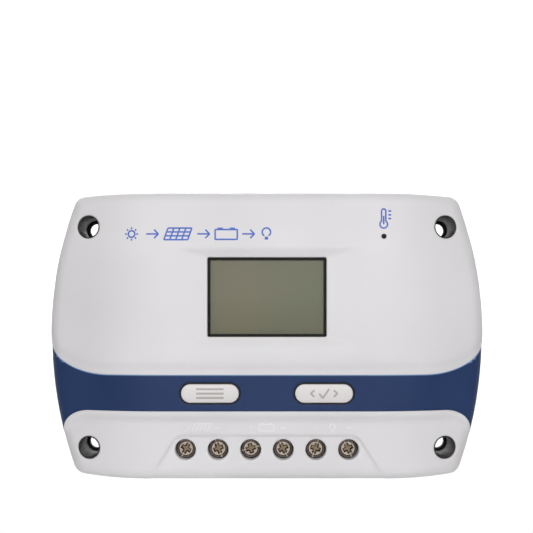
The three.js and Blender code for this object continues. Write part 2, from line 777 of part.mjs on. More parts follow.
controller.rotation.x = Math.PI / 2;

export default controller;
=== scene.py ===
import json
import math

import bmesh
import bpy
import numpy as np
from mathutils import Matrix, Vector
from mathutils.geometry import delaunay_2d_cdt


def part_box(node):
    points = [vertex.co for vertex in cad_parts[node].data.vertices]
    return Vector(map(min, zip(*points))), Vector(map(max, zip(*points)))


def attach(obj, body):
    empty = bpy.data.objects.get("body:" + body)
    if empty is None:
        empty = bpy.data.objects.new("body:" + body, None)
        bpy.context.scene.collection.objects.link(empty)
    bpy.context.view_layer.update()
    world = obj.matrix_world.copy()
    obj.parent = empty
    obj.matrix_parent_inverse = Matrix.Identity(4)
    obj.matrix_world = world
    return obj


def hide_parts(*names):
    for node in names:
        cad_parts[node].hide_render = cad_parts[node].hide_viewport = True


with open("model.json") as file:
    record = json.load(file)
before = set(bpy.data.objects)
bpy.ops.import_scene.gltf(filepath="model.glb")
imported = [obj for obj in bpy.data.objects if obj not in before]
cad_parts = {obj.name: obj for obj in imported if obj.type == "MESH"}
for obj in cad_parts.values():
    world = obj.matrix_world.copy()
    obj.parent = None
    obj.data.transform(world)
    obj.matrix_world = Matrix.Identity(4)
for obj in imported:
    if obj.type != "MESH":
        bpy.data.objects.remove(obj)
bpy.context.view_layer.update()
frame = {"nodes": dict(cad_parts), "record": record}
print("frame loaded")

# Sizes here are in millimetres as seen by someone facing the case:
# x to the right, y up, z from the wall towards the viewer. toWorld turns them into metres.


def toWorld(points):
    p = np.asarray(points, dtype=float) / 1000
    return np.stack([p[..., 0], -p[..., 2], p[..., 1]], axis=-1)


def faceBox(node):
    low, high = (np.array(corner) * 1000 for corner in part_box(node))
    return {"x": (low[0] + high[0]) / 2, "y": (low[2] + high[2]) / 2,
            "width": high[0] - low[0], "height": high[2] - low[2],
            "back": -high[1], "front": -low[1]}


coverBox = faceBox("front_cover")
lensBox = faceBox("display_lens")
sensorBox = faceBox("temperature_sensor")
cornerNames = ("top_left", "top_right", "bottom_left", "bottom_right")
wellBoxes = [faceBox("mount_sleeve_" + corner) for corner in cornerNames]
screwBoxes = [faceBox("terminal_screw_%d" % (i + 1)) for i in range(6)]
buttonBoxes = {name: faceBox(name + "_button") for name in ("menu", "set")}

# small helpers for meshes and modifiers


def newObject(name, vertices, faces):
    mesh = bpy.data.meshes.new(name)
    mesh.from_pydata([tuple(v) for v in vertices], [], faces)
    mesh.update()
    piece = bpy.data.objects.new(name, mesh)
    bpy.context.scene.collection.objects.link(piece)
    return piece


def faceOutwards(piece):
    work = bmesh.new()
    work.from_mesh(piece.data)
    bmesh.ops.recalc_face_normals(work, faces=work.faces)
    work.to_mesh(piece.data)
    work.free()


def plainMesh(piece):
    # the evaluated result becomes the mesh, so nothing live is left on the piece
    bpy.context.view_layer.update()
    evaluated = piece.evaluated_get(bpy.context.evaluated_depsgraph_get())
    mesh = bpy.data.meshes.new_from_object(evaluated)
    piece.modifiers.clear()
    old = piece.data
    piece.data = mesh
    if isinstance(old, bpy.types.Mesh):
        bpy.data.meshes.remove(old)
    return piece


def combine(piece, operation, tools):
    for tool in tools:
        modifier = piece.modifiers.new("cut", "BOOLEAN")
        modifier.operation = operation
        modifier.solver = "MANIFOLD"
        modifier.object = tool
    plainMesh(piece)
    for tool in tools:
        bpy.data.objects.remove(tool)
    return piece


def shade(piece, degrees):
    piece.data.shade_smooth()
    piece.data.set_sharp_from_angle(angle=math.radians(degrees))
    return piece


def dress(piece, material, body, *nodes):
    piece.data.materials.clear()
    piece.data.materials.append(material)
    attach(piece, body)
    if nodes:
        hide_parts(*nodes)
    return piece


bodyOf = {node: body for body, nodes in frame["record"]["behaviour"]["bodies"].items() for node in nodes}

# helpers for node trees and materials


def hexColour(text):
    channels = [int(text[i:i + 2], 16) / 255 for i in (1, 3, 5)]
    linear = [c / 12.92 if c <= 0.04045 else ((c + 0.055) / 1.055) ** 2.4 for c in channels]
    return (*linear, 1)


def addNode(tree, kind, settings):
    # settings give the node's properties, and a value or a link for each input socket they name
    node = tree.nodes.new(kind)
    for key, value in settings.items():
        if isinstance(value, bpy.types.NodeSocket):
            tree.links.new(value, node.inputs[key])
        elif isinstance(key, str) and hasattr(node, key):
            setattr(node, key, value)
        else:
            node.inputs[key].default_value = value
    return node


def newMaterial(name, values):
    # values are constants for the shader's own sockets
    material = bpy.data.materials.new(name)
    material.use_nodes = True
    tree = material.node_tree
    shader = tree.nodes["Principled BSDF"]
    for socket, value in values.items():
        shader.inputs[socket].default_value = value
    place = addNode(tree, "ShaderNodeTexCoord", {}).outputs["Object"]
    return material, tree, shader, place


def makeFinish(name, colours, cloud, roughness, wear, grain, depth, values, stretch=(1, 1, 1)):
    # cloud, wear and grain are patterns, each a size in millimetres, a detail and a harshness: cloud blends
    # the two colours, wear spreads the roughness, and grain stands up by depth, in millimetres
    material, tree, shader, place = newMaterial(name, values)
    drawn = addNode(tree, "ShaderNodeMapping", {"Vector": place, "Scale": stretch}).outputs["Vector"]
    patterns = []
    for (size, detail, harshness), where in ((cloud, place), (wear, drawn), (grain, drawn)):
        patterns.append(addNode(tree, "ShaderNodeTexNoise", {
            "Vector": where, "Scale": 1000 / size, "Detail": detail, "Roughness": harshness}).outputs["Fac"])
    share = addNode(tree, "ShaderNodeMapRange", {"Value": patterns[0], "From Min": 0.3, "From Max": 0.7})
    blend = addNode(tree, "ShaderNodeMix", {"data_type": "RGBA", 0: share.outputs["Result"],
                                            6: hexColour(colours[0]), 7: hexColour(colours[1])})
    spread = addNode(tree, "ShaderNodeMapRange", {
        "Value": patterns[1], "To Min": roughness[0], "To Max": roughness[1]})
    raised = addNode(tree, "ShaderNodeBump", {"Height": patterns[2], "Distance": depth / 1000})
    tree.links.new(blend.outputs[2], shader.inputs["Base Color"])
    tree.links.new(spread.outputs["Result"], shader.inputs["Roughness"])
    tree.links.new(raised.outputs["Normal"], shader.inputs["Normal"])
    return material


def layColour(material, share, colour):
    # lays another colour over the material's own, by a share between 0 and 1
    tree = material.node_tree
    base = tree.nodes["Principled BSDF"].inputs["Base Color"]
    mixed = addNode(tree, "ShaderNodeMix", {"data_type": "RGBA", 0: share, 6: base.links[0].from_socket,
                                            7: hexColour(colour)})
    tree.links.new(mixed.outputs[2], base)


def moulded(name, dark, light, roughness, grainSize=0.5, specular=0.5):
    # injection-moulded plastic: an even colour with a faint cloud in it, and a fine spark-eroded grain
    return makeFinish(name, (dark, light), (45, 2, 0.5), (roughness - 0.05, roughness + 0.06), (9, 4, 0.5),
                      (grainSize, 2, 0.6), 0.004, {"IOR": 1.53, "Specular IOR Level": specular})


def metalFinish(name, dark, light, roughness, stretch=(1, 1, 1), markSize=0.25):
    # plated or machined metal: patchy brightness, and fine tool marks along one direction
    marks = (markSize, 2, 0.6)
    return makeFinish(name, (dark, light), (2.2, 4, 0.6), (roughness - 0.08, roughness + 0.12), marks, marks,
                      0.003, {"Metallic": 1}, stretch)


# the materials, each named for what the real surface is, and for any light or shade painted on it

# moulded ABS: the case is a satin off-white with a cool cast, and reflects softly
whiteAbs = moulded("mouldedAbsWhite", "#dfdddf", "#e6e4e6", 0.5, specular=0.35)
# the raised signs come from polished parts of the mould, so they are smoother and catch more light; their
# paler colour than the case is a painted highlight
reliefAbsPaintedHighlight = moulded("mouldedAbsReliefPaintedHighlight", "#ebe9ec", "#f0eef0", 0.3)
# the keys are a touch warmer and smoother than the case
buttonAbs = moulded("mouldedAbsButtonWhite", "#dddad9", "#e4e1e0", 0.38, 0.4)
# the linings of the corner wells are a dull dark grey
blackAbs = moulded("mouldedAbsBlack", "#2f2a2b", "#383233", 0.5)
# nylon of the terminal block and plungers: nearly black, with a coarser dull grain
nylonBlack = moulded("mouldedNylonBlack", "#1d1e1f", "#26272a", 0.55, 0.6)
# the light guide behind the display: milky and slightly yellow green
milkyAcrylic = moulded("mouldedAcrylicMilky", "#dcdfc6", "#e8ead6", 0.5)
# shrunk film round the capacitors: dark blue and a little glossy
shrinkSleeve = moulded("shrinkSleevePvc", "#1e2a47", "#25355a", 0.35, 0.8)
# pad-printed ink: flat, even colour with a faint sheen
greyInk = moulded("padPrintInkGrey", "#aea8a6", "#b8b2b0", 0.45, 0.3)
blueInk = moulded("padPrintInkBlue", "#355cc0", "#4167c4", 0.45, 0.3)
# screen-printed border of the window: the deepest black, with hardly any reflection
blackInk = moulded("screenPrintInkBlack", "#030303", "#050505", 0.6, 0.3, specular=0.05)
# moulded epoxy of the chips and the sensor: black and dull
epoxyBlack = moulded("mouldedEpoxyBlack", "#161617", "#202022", 0.5, 0.3)
# nickel-plated steel: a warm grey shine with fine marks
nickelPlate = metalFinish("nickelPlatedSteel", "#6a6158", "#9a8f84", 0.28, markSize=0.35)
# zinc-plated steel: a paler and bluer shine
zincPlate = metalFinish("zincPlatedSteel", "#8f9093", "#b9bbbd", 0.34)
# turned brass: yellow, with marks that run round the stand-offs
turnedBrass = metalFinish("turnedBrass", "#a58444", "#c9a85f", 0.3, (1, 8, 1))
# tin-plated copper: pale and slightly yellow
tinPlate = metalFinish("tinPlatedCopper", "#a9a49c", "#cbc7c0", 0.3)
# black anodised aluminium: nearly black, with a satin sheen and fine drawn lines up the plate
drawnLines = (0.4, 3, 0.6)
blackAnodised = makeFinish("anodisedAluminiumBlack", ("#161617", "#202022"), (20, 3, 0.5), (0.4, 0.58),
                           drawnLines, drawnLines, 0.01, {"Metallic": 0.6}, (1, 1, 0.03))
# the film on the display glass: olive grey, a shade warmer in places, with a faint fine grain
displayFilm = makeFinish("polariserFilmOlive", ("#827c67", "#767a64"), (38, 1, 0.5), (0.4, 0.4), (38, 1, 0.5),
                         (0.7, 2, 0.5), 0.004, {"Specular IOR Level": 0.2})
# matt white background paper with a faint fibre grain
whitePaper = makeFinish("backgroundPaperWhite", ("#fafafa", "#fcfcfc"), (3, 4, 0.5), (0.9, 0.9), (3, 4, 0.5),
                        (3, 4, 0.5), 0.02, {})

# painted light and shade on a terminal screw, as colours: from and to, in millimetres from its axis, and in
# millimetres below its face
screwPaintedLight = {
    "rings": ((0.0, 2.1, "#b0a59a"), (2.25, 2.4, "#332a24"), (2.62, 2.75, "#9c9288")),
    "recessReach": (2.5, 2.6),
    "recess": ((0.06, 0.14, "#231b15"), (0.4, 0.43, "#b3a694"), (0.47, 0.5, "#2b2119"),
               (1.05, 1.15, "#83715d")),
}


def nickelWithPaintedLight():
    # a terminal screw's face grows paler out from its axis, then has a painted dark ring of shade and a
    # painted highlight on its rounded edge; its recess has painted shade on the walls, a painted highlight on
    # the slot floor and a painted brown reflection at the bottom
    material = nickelPlate.copy()
    material.name = "nickelScrewPaintedLight"
    tree = material.node_tree
    place = addNode(tree, "ShaderNodeTexCoord", {}).outputs["Object"]
    behind = addNode(tree, "ShaderNodeSeparateXYZ", {0: place}).outputs["Y"]
    fromAxis = addNode(tree, "ShaderNodeAttribute", {"attribute_name": "fromAxis"}).outputs["Fac"]
    # painted dark ring of shade and painted highlight round the edge of the face
    for start, end, colour in screwPaintedLight["rings"]:
        ring = addNode(tree, "ShaderNodeMapRange", {
            "Value": fromAxis, "From Min": start / 1000, "From Max": end / 1000}).outputs["Result"]
        layColour(material, ring, colour)
    start, end = screwPaintedLight["recessReach"]
    within = addNode(tree, "ShaderNodeMapRange", {
        "Value": fromAxis, "From Min": start / 1000, "From Max": end / 1000, "To Min": 1.0, "To Max": 0.0})
    face = -screwBoxes[0]["front"]
    # painted shade, a painted highlight and a painted reflection, laid on by depth in the recess
    for start, end, colour in screwPaintedLight["recess"]:
        deep = addNode(tree, "ShaderNodeMapRange", {
            "Value": behind, "From Min": (face + start) / 1000, "From Max": (face + end) / 1000})
        share = addNode(tree, "ShaderNodeMath", {
            "operation": "MULTIPLY", 0: deep.outputs["Result"], 1: within.outputs["Result"]}).outputs[0]
        layColour(material, share, colour)
    return material


def keyWithPaintedGapShade():
    # the key's sides below its face are painted near black, a painted shade for the gap round each key, so
    # the gap reads as a black line
    material = buttonAbs.copy()
    material.name = "absKeyPaintedGapShade"
    tree = material.node_tree
    place = addNode(tree, "ShaderNodeTexCoord", {}).outputs["Object"]
    behind = addNode(tree, "ShaderNodeSeparateXYZ", {0: place}).outputs["Y"]
    face = -buttonBoxes["menu"]["front"] / 1000
    gapShade = addNode(tree, "ShaderNodeMapRange", {
        "Value": behind, "From Min": face + 0.0005, "From Max": face + 0.0006}).outputs["Result"]
    # painted shade down the key's sides, below the face
    layColour(material, gapShade, "#0c0c0e")
    return material


def bluePaint():
    # sprayed satin paint in a masked strip: it thins out to a paler blue just along the mask's edge
    material = makeFinish("sprayedPaintBlue", ("#273a61", "#2c4068"), (30, 3, 0.5), (0.4, 0.5), (30, 3, 0.5),
                          (1.1, 2, 0.5), 0.006, {"IOR": 1.5, "Specular IOR Level": 0.12})
    edge = addNode(material.node_tree, "ShaderNodeAttribute", {"attribute_name": "edgeNear"}).outputs["Fac"]
    layColour(material, edge, "#93b9e8")
    return material


def solderMask():
    # green lacquer over copper tracks, which show as paler lines and stand a little proud
    material, tree, shader, place = newMaterial("solderMaskGreen", {"Roughness": 0.32})
    cells = addNode(tree, "ShaderNodeTexVoronoi", {
        "feature": "DISTANCE_TO_EDGE", "distance": "EUCLIDEAN", "Scale": 1000 / 5, "Vector": place})
    track = addNode(tree, "ShaderNodeMapRange", {
        "Value": cells.outputs["Distance"], "From Min": 0.08, "From Max": 0.12, "To Min": 1.0, "To Max": 0.0})
    share = addNode(tree, "ShaderNodeMapRange", {
        "Value": track.outputs["Result"], "From Min": 0.3, "From Max": 0.7}).outputs["Result"]
    green = addNode(tree, "ShaderNodeMix", {
        "data_type": "RGBA", 0: share, 6: hexColour("#17502f"), 7: hexColour("#2b7443")})
    raised = addNode(tree, "ShaderNodeBump", {"Height": track.outputs["Result"], "Distance": 0.00003})
    tree.links.new(green.outputs[2], shader.inputs["Base Color"])
    tree.links.new(raised.outputs["Normal"], shader.inputs["Normal"])
    return material


def clearWindow():
    # a polished acrylic window: almost all of what lies behind shows, under a thin gloss
    material, tree, shader, place = newMaterial("polishedAcrylicClear", {
        "Base Color": hexColour("#6d706c"), "Alpha": 0.05, "IOR": 1.49})
    film = addNode(tree, "ShaderNodeTexNoise", {
        "Vector": place, "Scale": 1000 / 12, "Detail": 3, "Roughness": 0.5})
    gloss = addNode(tree, "ShaderNodeMapRange", {"Value": film.outputs["Fac"], "To Min": 0.1, "To Max": 0.2})
    tree.links.new(gloss.outputs["Result"], shader.inputs["Roughness"])
    return material


screwNickelPaintedLight = nickelWithPaintedLight()
keyAbsPaintedShade = keyWithPaintedGapShade()
stripPaint = bluePaint()
boardLacquer = solderMask()
windowAcrylic = clearWindow()
print("materials made")

# the case form

caseForm = {
    "halfWidth": coverBox["width"] / 2,
    "top": coverBox["y"] + coverBox["height"] / 2, "bottom": coverBox["y"] - coverBox["height"] / 2,
    "sideRadius": 127, "sideCentre": 0.3, "topFlat": 41, "topRadius": 400,
    "bottomFlat": 44, "bottomRadius": 216, "cornerRadius": 4.5, "edgeRadius": 4,
    "crown": coverBox["front"], "bandDrop": 1.1, "terminalDrop": 2.9,
    "plateau": 35, "bendRadius": 55, "sideSlope": math.radians(28),
    "crownTop": 27, "topBend": 36,
    "crease": -8.6, "lip": -11.3, "shoulder": -26.7, "foot": -29,
    "wall": 2.6, "softness": 0.45,
}
strip = {
    "top": -12.7, "bottom": -25.3, "depth": 1.3, "thickness": 1, "sunk": 0.2, "gap": 0.1, "paleEdge": 0.28,
    "topFlare": (55, 21.5, 12.4), "bottomFlare": (62, 9.6, 7),
}
displayRecess = {"width": 66, "height": 34.3, "margin": 1, "floor": 37.1}
terminalPanel = {"top": -33.8, "topHalf": 31.2, "bottomHalf": 40.8, "depth": 0.9, "corner": 2.5, "step": 1.3}


def circleTouch(a, b, radius):
    # centre of the circle that touches circles a and b from inside, on the right
    reachA, reachB = a[2] - radius, b[2] - radius
    dx, dy = b[0] - a[0], b[1] - a[1]
    apart = math.hypot(dx, dy)
    along = (reachA ** 2 - reachB ** 2 + apart ** 2) / (2 * apart)
    across = math.sqrt(reachA ** 2 - along ** 2)
    return max((a[0] + (along * dx - s * across * dy) / apart,
                a[1] + (along * dy + s * across * dx) / apart, radius) for s in (-1, 1))


def outline(inset, spacing):
    # points round the case, drawn in by inset; every inset gives as many points
    c = caseForm
    side = (c["halfWidth"] - c["sideRadius"], c["sideCentre"], c["sideRadius"])
    top = (c["topFlat"], c["top"] - c["topRadius"], c["topRadius"])
    bottom = (c["bottomFlat"], c["bottom"] + c["bottomRadius"], c["bottomRadius"])
    upper = circleTouch(side, top, c["cornerRadius"])
    lower = circleTouch(side, bottom, c["cornerRadius"])

    def heading(circle, fillet):
        return math.atan2(fillet[1] - circle[1], fillet[0] - circle[0])

    turns = [-math.pi / 2, heading(bottom, lower), heading(side, lower), heading(side, upper),
             heading(top, upper), math.pi / 2]
    right = []
    for circle, start, end in zip((bottom, lower, side, upper, top), turns, turns[1:]):
        steps = max(8, round(circle[2] * (end - start) / spacing))
        reach = circle[2] - inset
        for turn in np.linspace(start, end, steps, endpoint=False):
            right.append((circle[0] + reach * math.cos(turn), circle[1] + reach * math.sin(turn)))
    across = round(2 * c["topFlat"] / spacing)
    topLine = [(x, c["top"] - inset) for x in np.linspace(c["topFlat"], -c["topFlat"], across + 1)]
    left = [(-x, y) for x, y in reversed(right)]
    under = round(2 * c["bottomFlat"] / spacing)
    bottomLine = [(x, c["bottom"] + inset)
                  for x in np.linspace(-c["bottomFlat"], c["bottomFlat"], under + 1)[1:-1]]
    return np.array(right + topLine + left + bottomLine)


def insidePolygon(points, polygon):
    # true where a ray to the right crosses the polygon an odd number of times
    x, y = points[:, 0], points[:, 1]
    inside = np.zeros(len(points), dtype=bool)
    for (x0, y0), (x1, y1) in zip(polygon, np.roll(polygon, -1, axis=0)):
        crosses = (y0 > y) != (y1 > y)
        if crosses.any():
            inside ^= crosses & (x < (x1 - x0) * (y - y0) / (y1 - y0 + 1e-12) + x0)
    return inside


def arcDrop(distance, radius):
    # how far a rounded surface has fallen away at this distance from where it starts
    along = np.clip(distance, 0, radius * 0.999)
    return radius - np.sqrt(radius ** 2 - along ** 2)


def softMin(a, b, k):
    # the lower of two heights, with their meeting rounded over a height of k
    overlap = np.clip(k - np.abs(a - b), 0, None) / k
    return np.minimum(a, b) - overlap ** 2 * k / 4


def softMax(a, b, k):
    return -softMin(-a, -b, k)


def swing(x, flare):
    # how far an edge of the strip has swung away from level at x
    start, rx, ry = flare
    along = np.clip((np.abs(x) - start) / rx, 0, 0.97)
    return ry * (1 - np.sqrt(1 - along ** 2))


def smoothHeight(x, y):
    # the front without its openings and shallow recesses
    c = caseForm
    up, down = swing(x, strip["topFlare"]), swing(x, strip["bottomFlare"])
    bandZ, terminalZ = c["crown"] - c["bandDrop"], c["crown"] - c["terminalDrop"]
    crown = c["crown"] - arcDrop(y - c["crownTop"], c["topBend"])
    slope = (y - c["lip"] - up) / (c["crease"] - c["lip"])
    chamfer = bandZ + c["bandDrop"] * slope
    upper = softMax(softMin(crown, chamfer, c["softness"]), bandZ + 0 * x, c["softness"])
    fall = (y - c["foot"] + down) / (c["shoulder"] - c["foot"])
    ramp = terminalZ + (bandZ - terminalZ) * fall
    lower = softMax(softMin(bandZ + 0 * x, ramp, c["softness"]), terminalZ + 0 * x, c["softness"])
    middle = (c["lip"] + c["shoulder"]) / 2
    z = np.where(y > middle, upper, lower)
    along = np.abs(x) - c["plateau"]
    bend = c["bendRadius"] * math.sin(c["sideSlope"])
    return z - arcDrop(np.minimum(along, bend), c["bendRadius"]) - np.clip(along - bend, 0, None) * math.tan(
        c["sideSlope"])


# the openings in the front: all are rounded rectangles, from a round hole to the display window


def opening(x, y, width, height, radius, rim):
    return {"x": x, "y": y, "hw": width / 2, "hh": height / 2, "r": radius, "rim": rim}


def depthInto(hole, x, y):
    # signed distance to the opening's edge, positive outside it
    dx = np.abs(x - hole["x"]) - hole["hw"] + hole["r"]
    dy = np.abs(y - hole["y"]) - hole["hh"] + hole["r"]
    outside = np.hypot(np.clip(dx, 0, None), np.clip(dy, 0, None))
    return outside + np.minimum(np.maximum(dx, dy), 0) - hole["r"]


def loopRound(hole, offset=0.0, spacing=0.5):
    radius = max(hole["r"] + offset, 0.05)
    reachX, reachY = hole["hw"] + offset - radius, hole["hh"] + offset - radius
    corners = [(1, 1), (-1, 1), (-1, -1), (1, -1)]
    steps = max(5, round(radius * math.pi / 2 / spacing))
    points = []

    def around(corner, turn):
        return (hole["x"] + corner[0] * reachX + radius * math.cos(turn),
                hole["y"] + corner[1] * reachY + radius * math.sin(turn))

    for quarter, corner in enumerate(corners):
        last = (quarter + 1) * math.pi / 2
        arc = [around(corner, turn) for turn in np.linspace(quarter * math.pi / 2, last, steps)]
        points += arc
        end = around(corners[(quarter + 1) % 4], last)
        gap = math.dist(arc[-1], end)
        count = int(gap / spacing)
        points += [tuple(np.array(arc[-1]) + (np.array(end) - arc[-1]) * k / count) for k in range(1, count)]
    kept = []
    for point in points:
        if not kept or math.dist(kept[-1], point) > 0.02:
            kept.append(point)
    if math.dist(kept[0], kept[-1]) < 0.02:
        kept.pop()
    return np.array(kept)


def roundHole(box, radius, rim):
    return opening(box["x"], box["y"], 2 * radius, 2 * radius, radius, rim)


# slotEdge is how much wider a key's flange is than its slot
holeSizes = {"well": (4.05, 0.35), "driver": (3.6, 0.35), "sensor": (0.9, 0.15), "slotEdge": 1.6,
             "slotRim": 0.18, "windowGap": 0.15, "windowCorner": 0.6, "windowRim": 0.4}
wells = [roundHole(box, *holeSizes["well"]) for box in wellBoxes]
drivers = [roundHole(box, *holeSizes["driver"]) for box in screwBoxes]
sensorHole = roundHole(sensorBox, *holeSizes["sensor"])
window = opening(lensBox["x"], lensBox["y"], lensBox["width"] + 2 * holeSizes["windowGap"],
                 lensBox["height"] + 2 * holeSizes["windowGap"], holeSizes["windowCorner"],
                 holeSizes["windowRim"])
slots = []
for box in buttonBoxes.values():
    width, height = box["width"] - holeSizes["slotEdge"], box["height"] - holeSizes["slotEdge"]
    slots.append(opening(box["x"], box["y"], width, height, height / 2, holeSizes["slotRim"]))
coverHoles = wells + drivers + [sensorHole, window]


def recessDrop(x, y, z):
    # the wide shallow funnel that leads down to the display
    r = displayRecess
    innerX, innerY = window["hw"] + r["margin"], window["hh"] + r["margin"] / 2
    alongX = (np.abs(x - window["x"]) - innerX) / (r["width"] / 2 - innerX)
    alongY = (np.abs(y - window["y"]) - innerY) / (r["height"] / 2 - innerY)
    rise = caseForm["crown"] - r["floor"]
    funnel = softMax(softMax(alongX, alongY, 0.08), 0 * x, 0.15) * rise + r["floor"]
    return softMin(z, funnel, 0.25)


def panelDrop(x, y, z):
    # the slightly sunk panel round the terminals, with slanting sides
    p = terminalPanel
    run, rise = p["bottomHalf"] - p["topHalf"], p["top"] - caseForm["bottom"]
    toSide = (p["topHalf"] + run * (p["top"] - y) / rise - np.abs(x)) * rise / math.hypot(run, rise)
    within = softMin(p["top"] - y, toSide, p["corner"])
    t = np.clip(within / p["step"] + 0.5, 0, 1)
    return z - p["depth"] * t * t * (3 - 2 * t)


def rimDrop(x, y, z, holes):
    # the small rounding round each opening
    for hole in holes:
        near = np.clip(depthInto(hole, x, y), 0, hole["rim"])
        away = hole["rim"] - near
        z = z - (hole["rim"] - np.sqrt(np.clip(hole["rim"] ** 2 - away ** 2, 0, None)))
    return z


def coverHeight(x, y):
    x, y = np.asarray(x, dtype=float), np.asarray(y, dtype=float)
    z = recessDrop(x, y, smoothHeight(x, y))
    return rimDrop(x, y, panelDrop(x, y, z), coverHoles)


def stripHeight(x, y):
    x, y = np.asarray(x, dtype=float), np.asarray(y, dtype=float)
    return rimDrop(x, y, smoothHeight(x, y), slots)


# how finely the front is divided, in millimetres, and how far points keep from an opening and from the edge
frontMesh = {"recessStep": 0.75, "recessMargin": 1, "slantStep": 0.5, "slantRows": (-0.7, 0.9),
             "levelStep": 0.6, "levelRows": (-0.9, 0.7), "rowStep": 0.25, "slantClear": 1.4,
             "levelClear": 1.2, "outsideHole": 1.3, "insideHole": 1.4, "edgeShare": 0.55,
             "rimShares": (-1.6, 0.0, 0.12, 0.4, 1.0), "rimStep": 0.4, "outerRing": 1.0, "outerStep": 0.8}


def frontPoints(loop, spacing, holes, fine):
    # rows of points that follow the strip, closer ones at the panel and recess, and rings round each opening
    m = frontMesh
    c = caseForm
    xs = np.arange(-c["halfWidth"], c["halfWidth"], spacing)
    up, down = swing(xs, strip["topFlare"]), swing(xs, strip["bottomFlare"])
    keyRows = [(c["bottom"], 0), (c["foot"] - 0.8, -1), (c["foot"] + 0.6, -1), (c["shoulder"] - 0.5, -1),
               (c["shoulder"] + 0.6, -1), (strip["bottom"], -1), (strip["bottom"] + 0.5, -1), (-19, 0),
               (strip["top"] - 0.5, 1), (strip["top"], 1), (c["lip"] - 0.9, 1), (c["lip"] + 0.9, 1),
               (c["crease"] - 0.9, 1), (c["crease"] + 0.9, 1), (c["crownTop"], 0), (c["top"], 0)]
    rows = [y + (up if side > 0 else -down if side < 0 else 0 * xs) for y, side in keyRows]
    layers = []
    for low, high in zip(rows, rows[1:]):
        steps = max(2 if fine else 1, int(np.ceil(np.median(high - low) / spacing)))
        layers += [low + (high - low) * k / steps for k in range(steps)]
    points = np.concatenate([np.stack([xs, layer], axis=1) for layer in layers])
    if fine:
        halfX, halfY = (displayRecess[side] / 2 + m["recessMargin"] for side in ("width", "height"))
        alongX = np.arange(-halfX, halfX, m["recessStep"]) + window["x"]
        alongY = np.arange(-halfY, halfY, m["recessStep"]) + window["y"]
        box = (np.abs(points[:, 0] - window["x"]) < halfX) & (np.abs(points[:, 1] - window["y"]) < halfY)
        grid = np.stack(np.meshgrid(alongX, alongY), axis=-1).reshape(-1, 2)
        p = terminalPanel
        run, rise = p["bottomHalf"] - p["topHalf"], p["top"] - c["bottom"]
        drops = np.arange(0, rise, m["slantStep"])
        edges = [np.stack([side * (p["topHalf"] + run * drops / rise + off), p["top"] - drops], axis=1)
                 for side in (-1, 1) for off in np.arange(*m["slantRows"], m["rowStep"])]
        level = np.arange(-p["topHalf"] - 1, p["topHalf"] + 1, m["levelStep"])
        edges += [np.stack([level, level * 0 + p["top"] + off], axis=1)
                  for off in np.arange(*m["levelRows"], m["rowStep"])]
        edges = np.concatenate(edges)
        slantDistance = np.abs((p["topHalf"] + run * (p["top"] - points[:, 1]) / rise) - np.abs(points[:, 0]))
        belowTop = points[:, 1] < p["top"] + m["levelClear"]
        besideTop = np.abs(points[:, 1] - p["top"]) < m["levelClear"]
        withinTop = np.abs(points[:, 0]) < p["topHalf"] + 1.5
        nearPanel = ((slantDistance < m["slantClear"]) & belowTop) | (besideTop & withinTop)
        points = np.concatenate([points[~box & ~nearPanel], grid, edges])
    for hole in holes:
        clear = depthInto(hole, points[:, 0], points[:, 1])
        points = points[(clear > m["outsideHole"]) | (clear < -m["insideHole"])]
    keep = insidePolygon(points, loop) & (distanceToLoop(points, loop) > m["edgeShare"] * spacing)
    rings = []
    for hole in holes:
        rings += [loopRound(hole, share * hole["rim"], m["rimStep"]) for share in m["rimShares"]]
        rings.append(loopRound(hole, m["outerRing"], m["outerStep"]))
    return np.concatenate([points[keep]] + rings)


def distanceToLoop(points, loop):
    nearest = np.full(len(points), 1e9)
    for start, end in zip(loop, np.roll(loop, -1, axis=0)):
        line = end - start
        t = np.clip(((points - start) @ line) / (line @ line), 0, 1)
        nearest = np.minimum(nearest, np.hypot(*(points - start - t[:, None] * line).T))
    return nearest


def buildForm(name, inset, back, height, holes, spacing, fine=False):
    # a closed solid: the front surface, a rounded edge, straight walls and a flat back
    radius = max(0.6, caseForm["edgeRadius"] - inset)
    step = 1.0 if fine else 2.0
    loop = outline(inset + radius, step)
    points = frontPoints(loop, spacing, holes, fine)
    corners = np.concatenate([loop, points])
    edges = [(i, (i + 1) % len(loop)) for i in range(len(loop))]
    flat, _, faces, sources, _, _ = delaunay_2d_cdt([tuple(c) for c in corners], edges, [], 1, 1e-5)
    flat = np.array([tuple(v) for v in flat])
    front = np.column_stack([flat, height(flat[:, 0], flat[:, 1]) - inset])
    madeFrom = {source: i for i, several in enumerate(sources) for source in several}
    first = [madeFrom[i] for i in range(len(loop))]
    vertices = [front]
    count = len(front)
    faces = [tuple(f) for f in faces]
    previous = first
    turns = np.linspace(math.pi / 2, 0, 9 if fine else 5)[1:]
    rings = []
    for turn in turns:
        ring = outline(inset + radius * (1 - math.cos(turn)), step)
        z = height(ring[:, 0], ring[:, 1]) - inset - radius * (1 - math.sin(turn))
        rings.append(np.column_stack([ring, z]))
    wallTop = rings[-1]
    for share in (0.35, 0.7, 1.0):
        lowered = wallTop.copy()
        lowered[:, 2] += (back - wallTop[:, 2]) * share
        rings.append(lowered)
    for ring in rings:
        vertices.append(ring)
        current = list(range(count, count + len(ring)))
        count += len(ring)
        for i in range(len(ring)):
            j = (i + 1) % len(ring)
            faces.append((previous[i], current[i], current[j], previous[j]))
        previous = current
    faces.append(tuple(reversed(previous)))
    made = newObject(name, toWorld(np.concatenate(vertices)), faces)
    faceOutwards(made)
    return made


def prism(name, points, low, high):
    base = [(x, y, low) for x, y in points]
    top = [(x, y, high) for x, y in points]
    count = len(points)
    faces = [tuple(reversed(range(count))), tuple(range(count, 2 * count))]
    faces += [(i, (i + 1) % count, count + (i + 1) % count, count + i) for i in range(count)]
    made = newObject(name, toWorld(base + top), faces)
    faceOutwards(made)
    return made


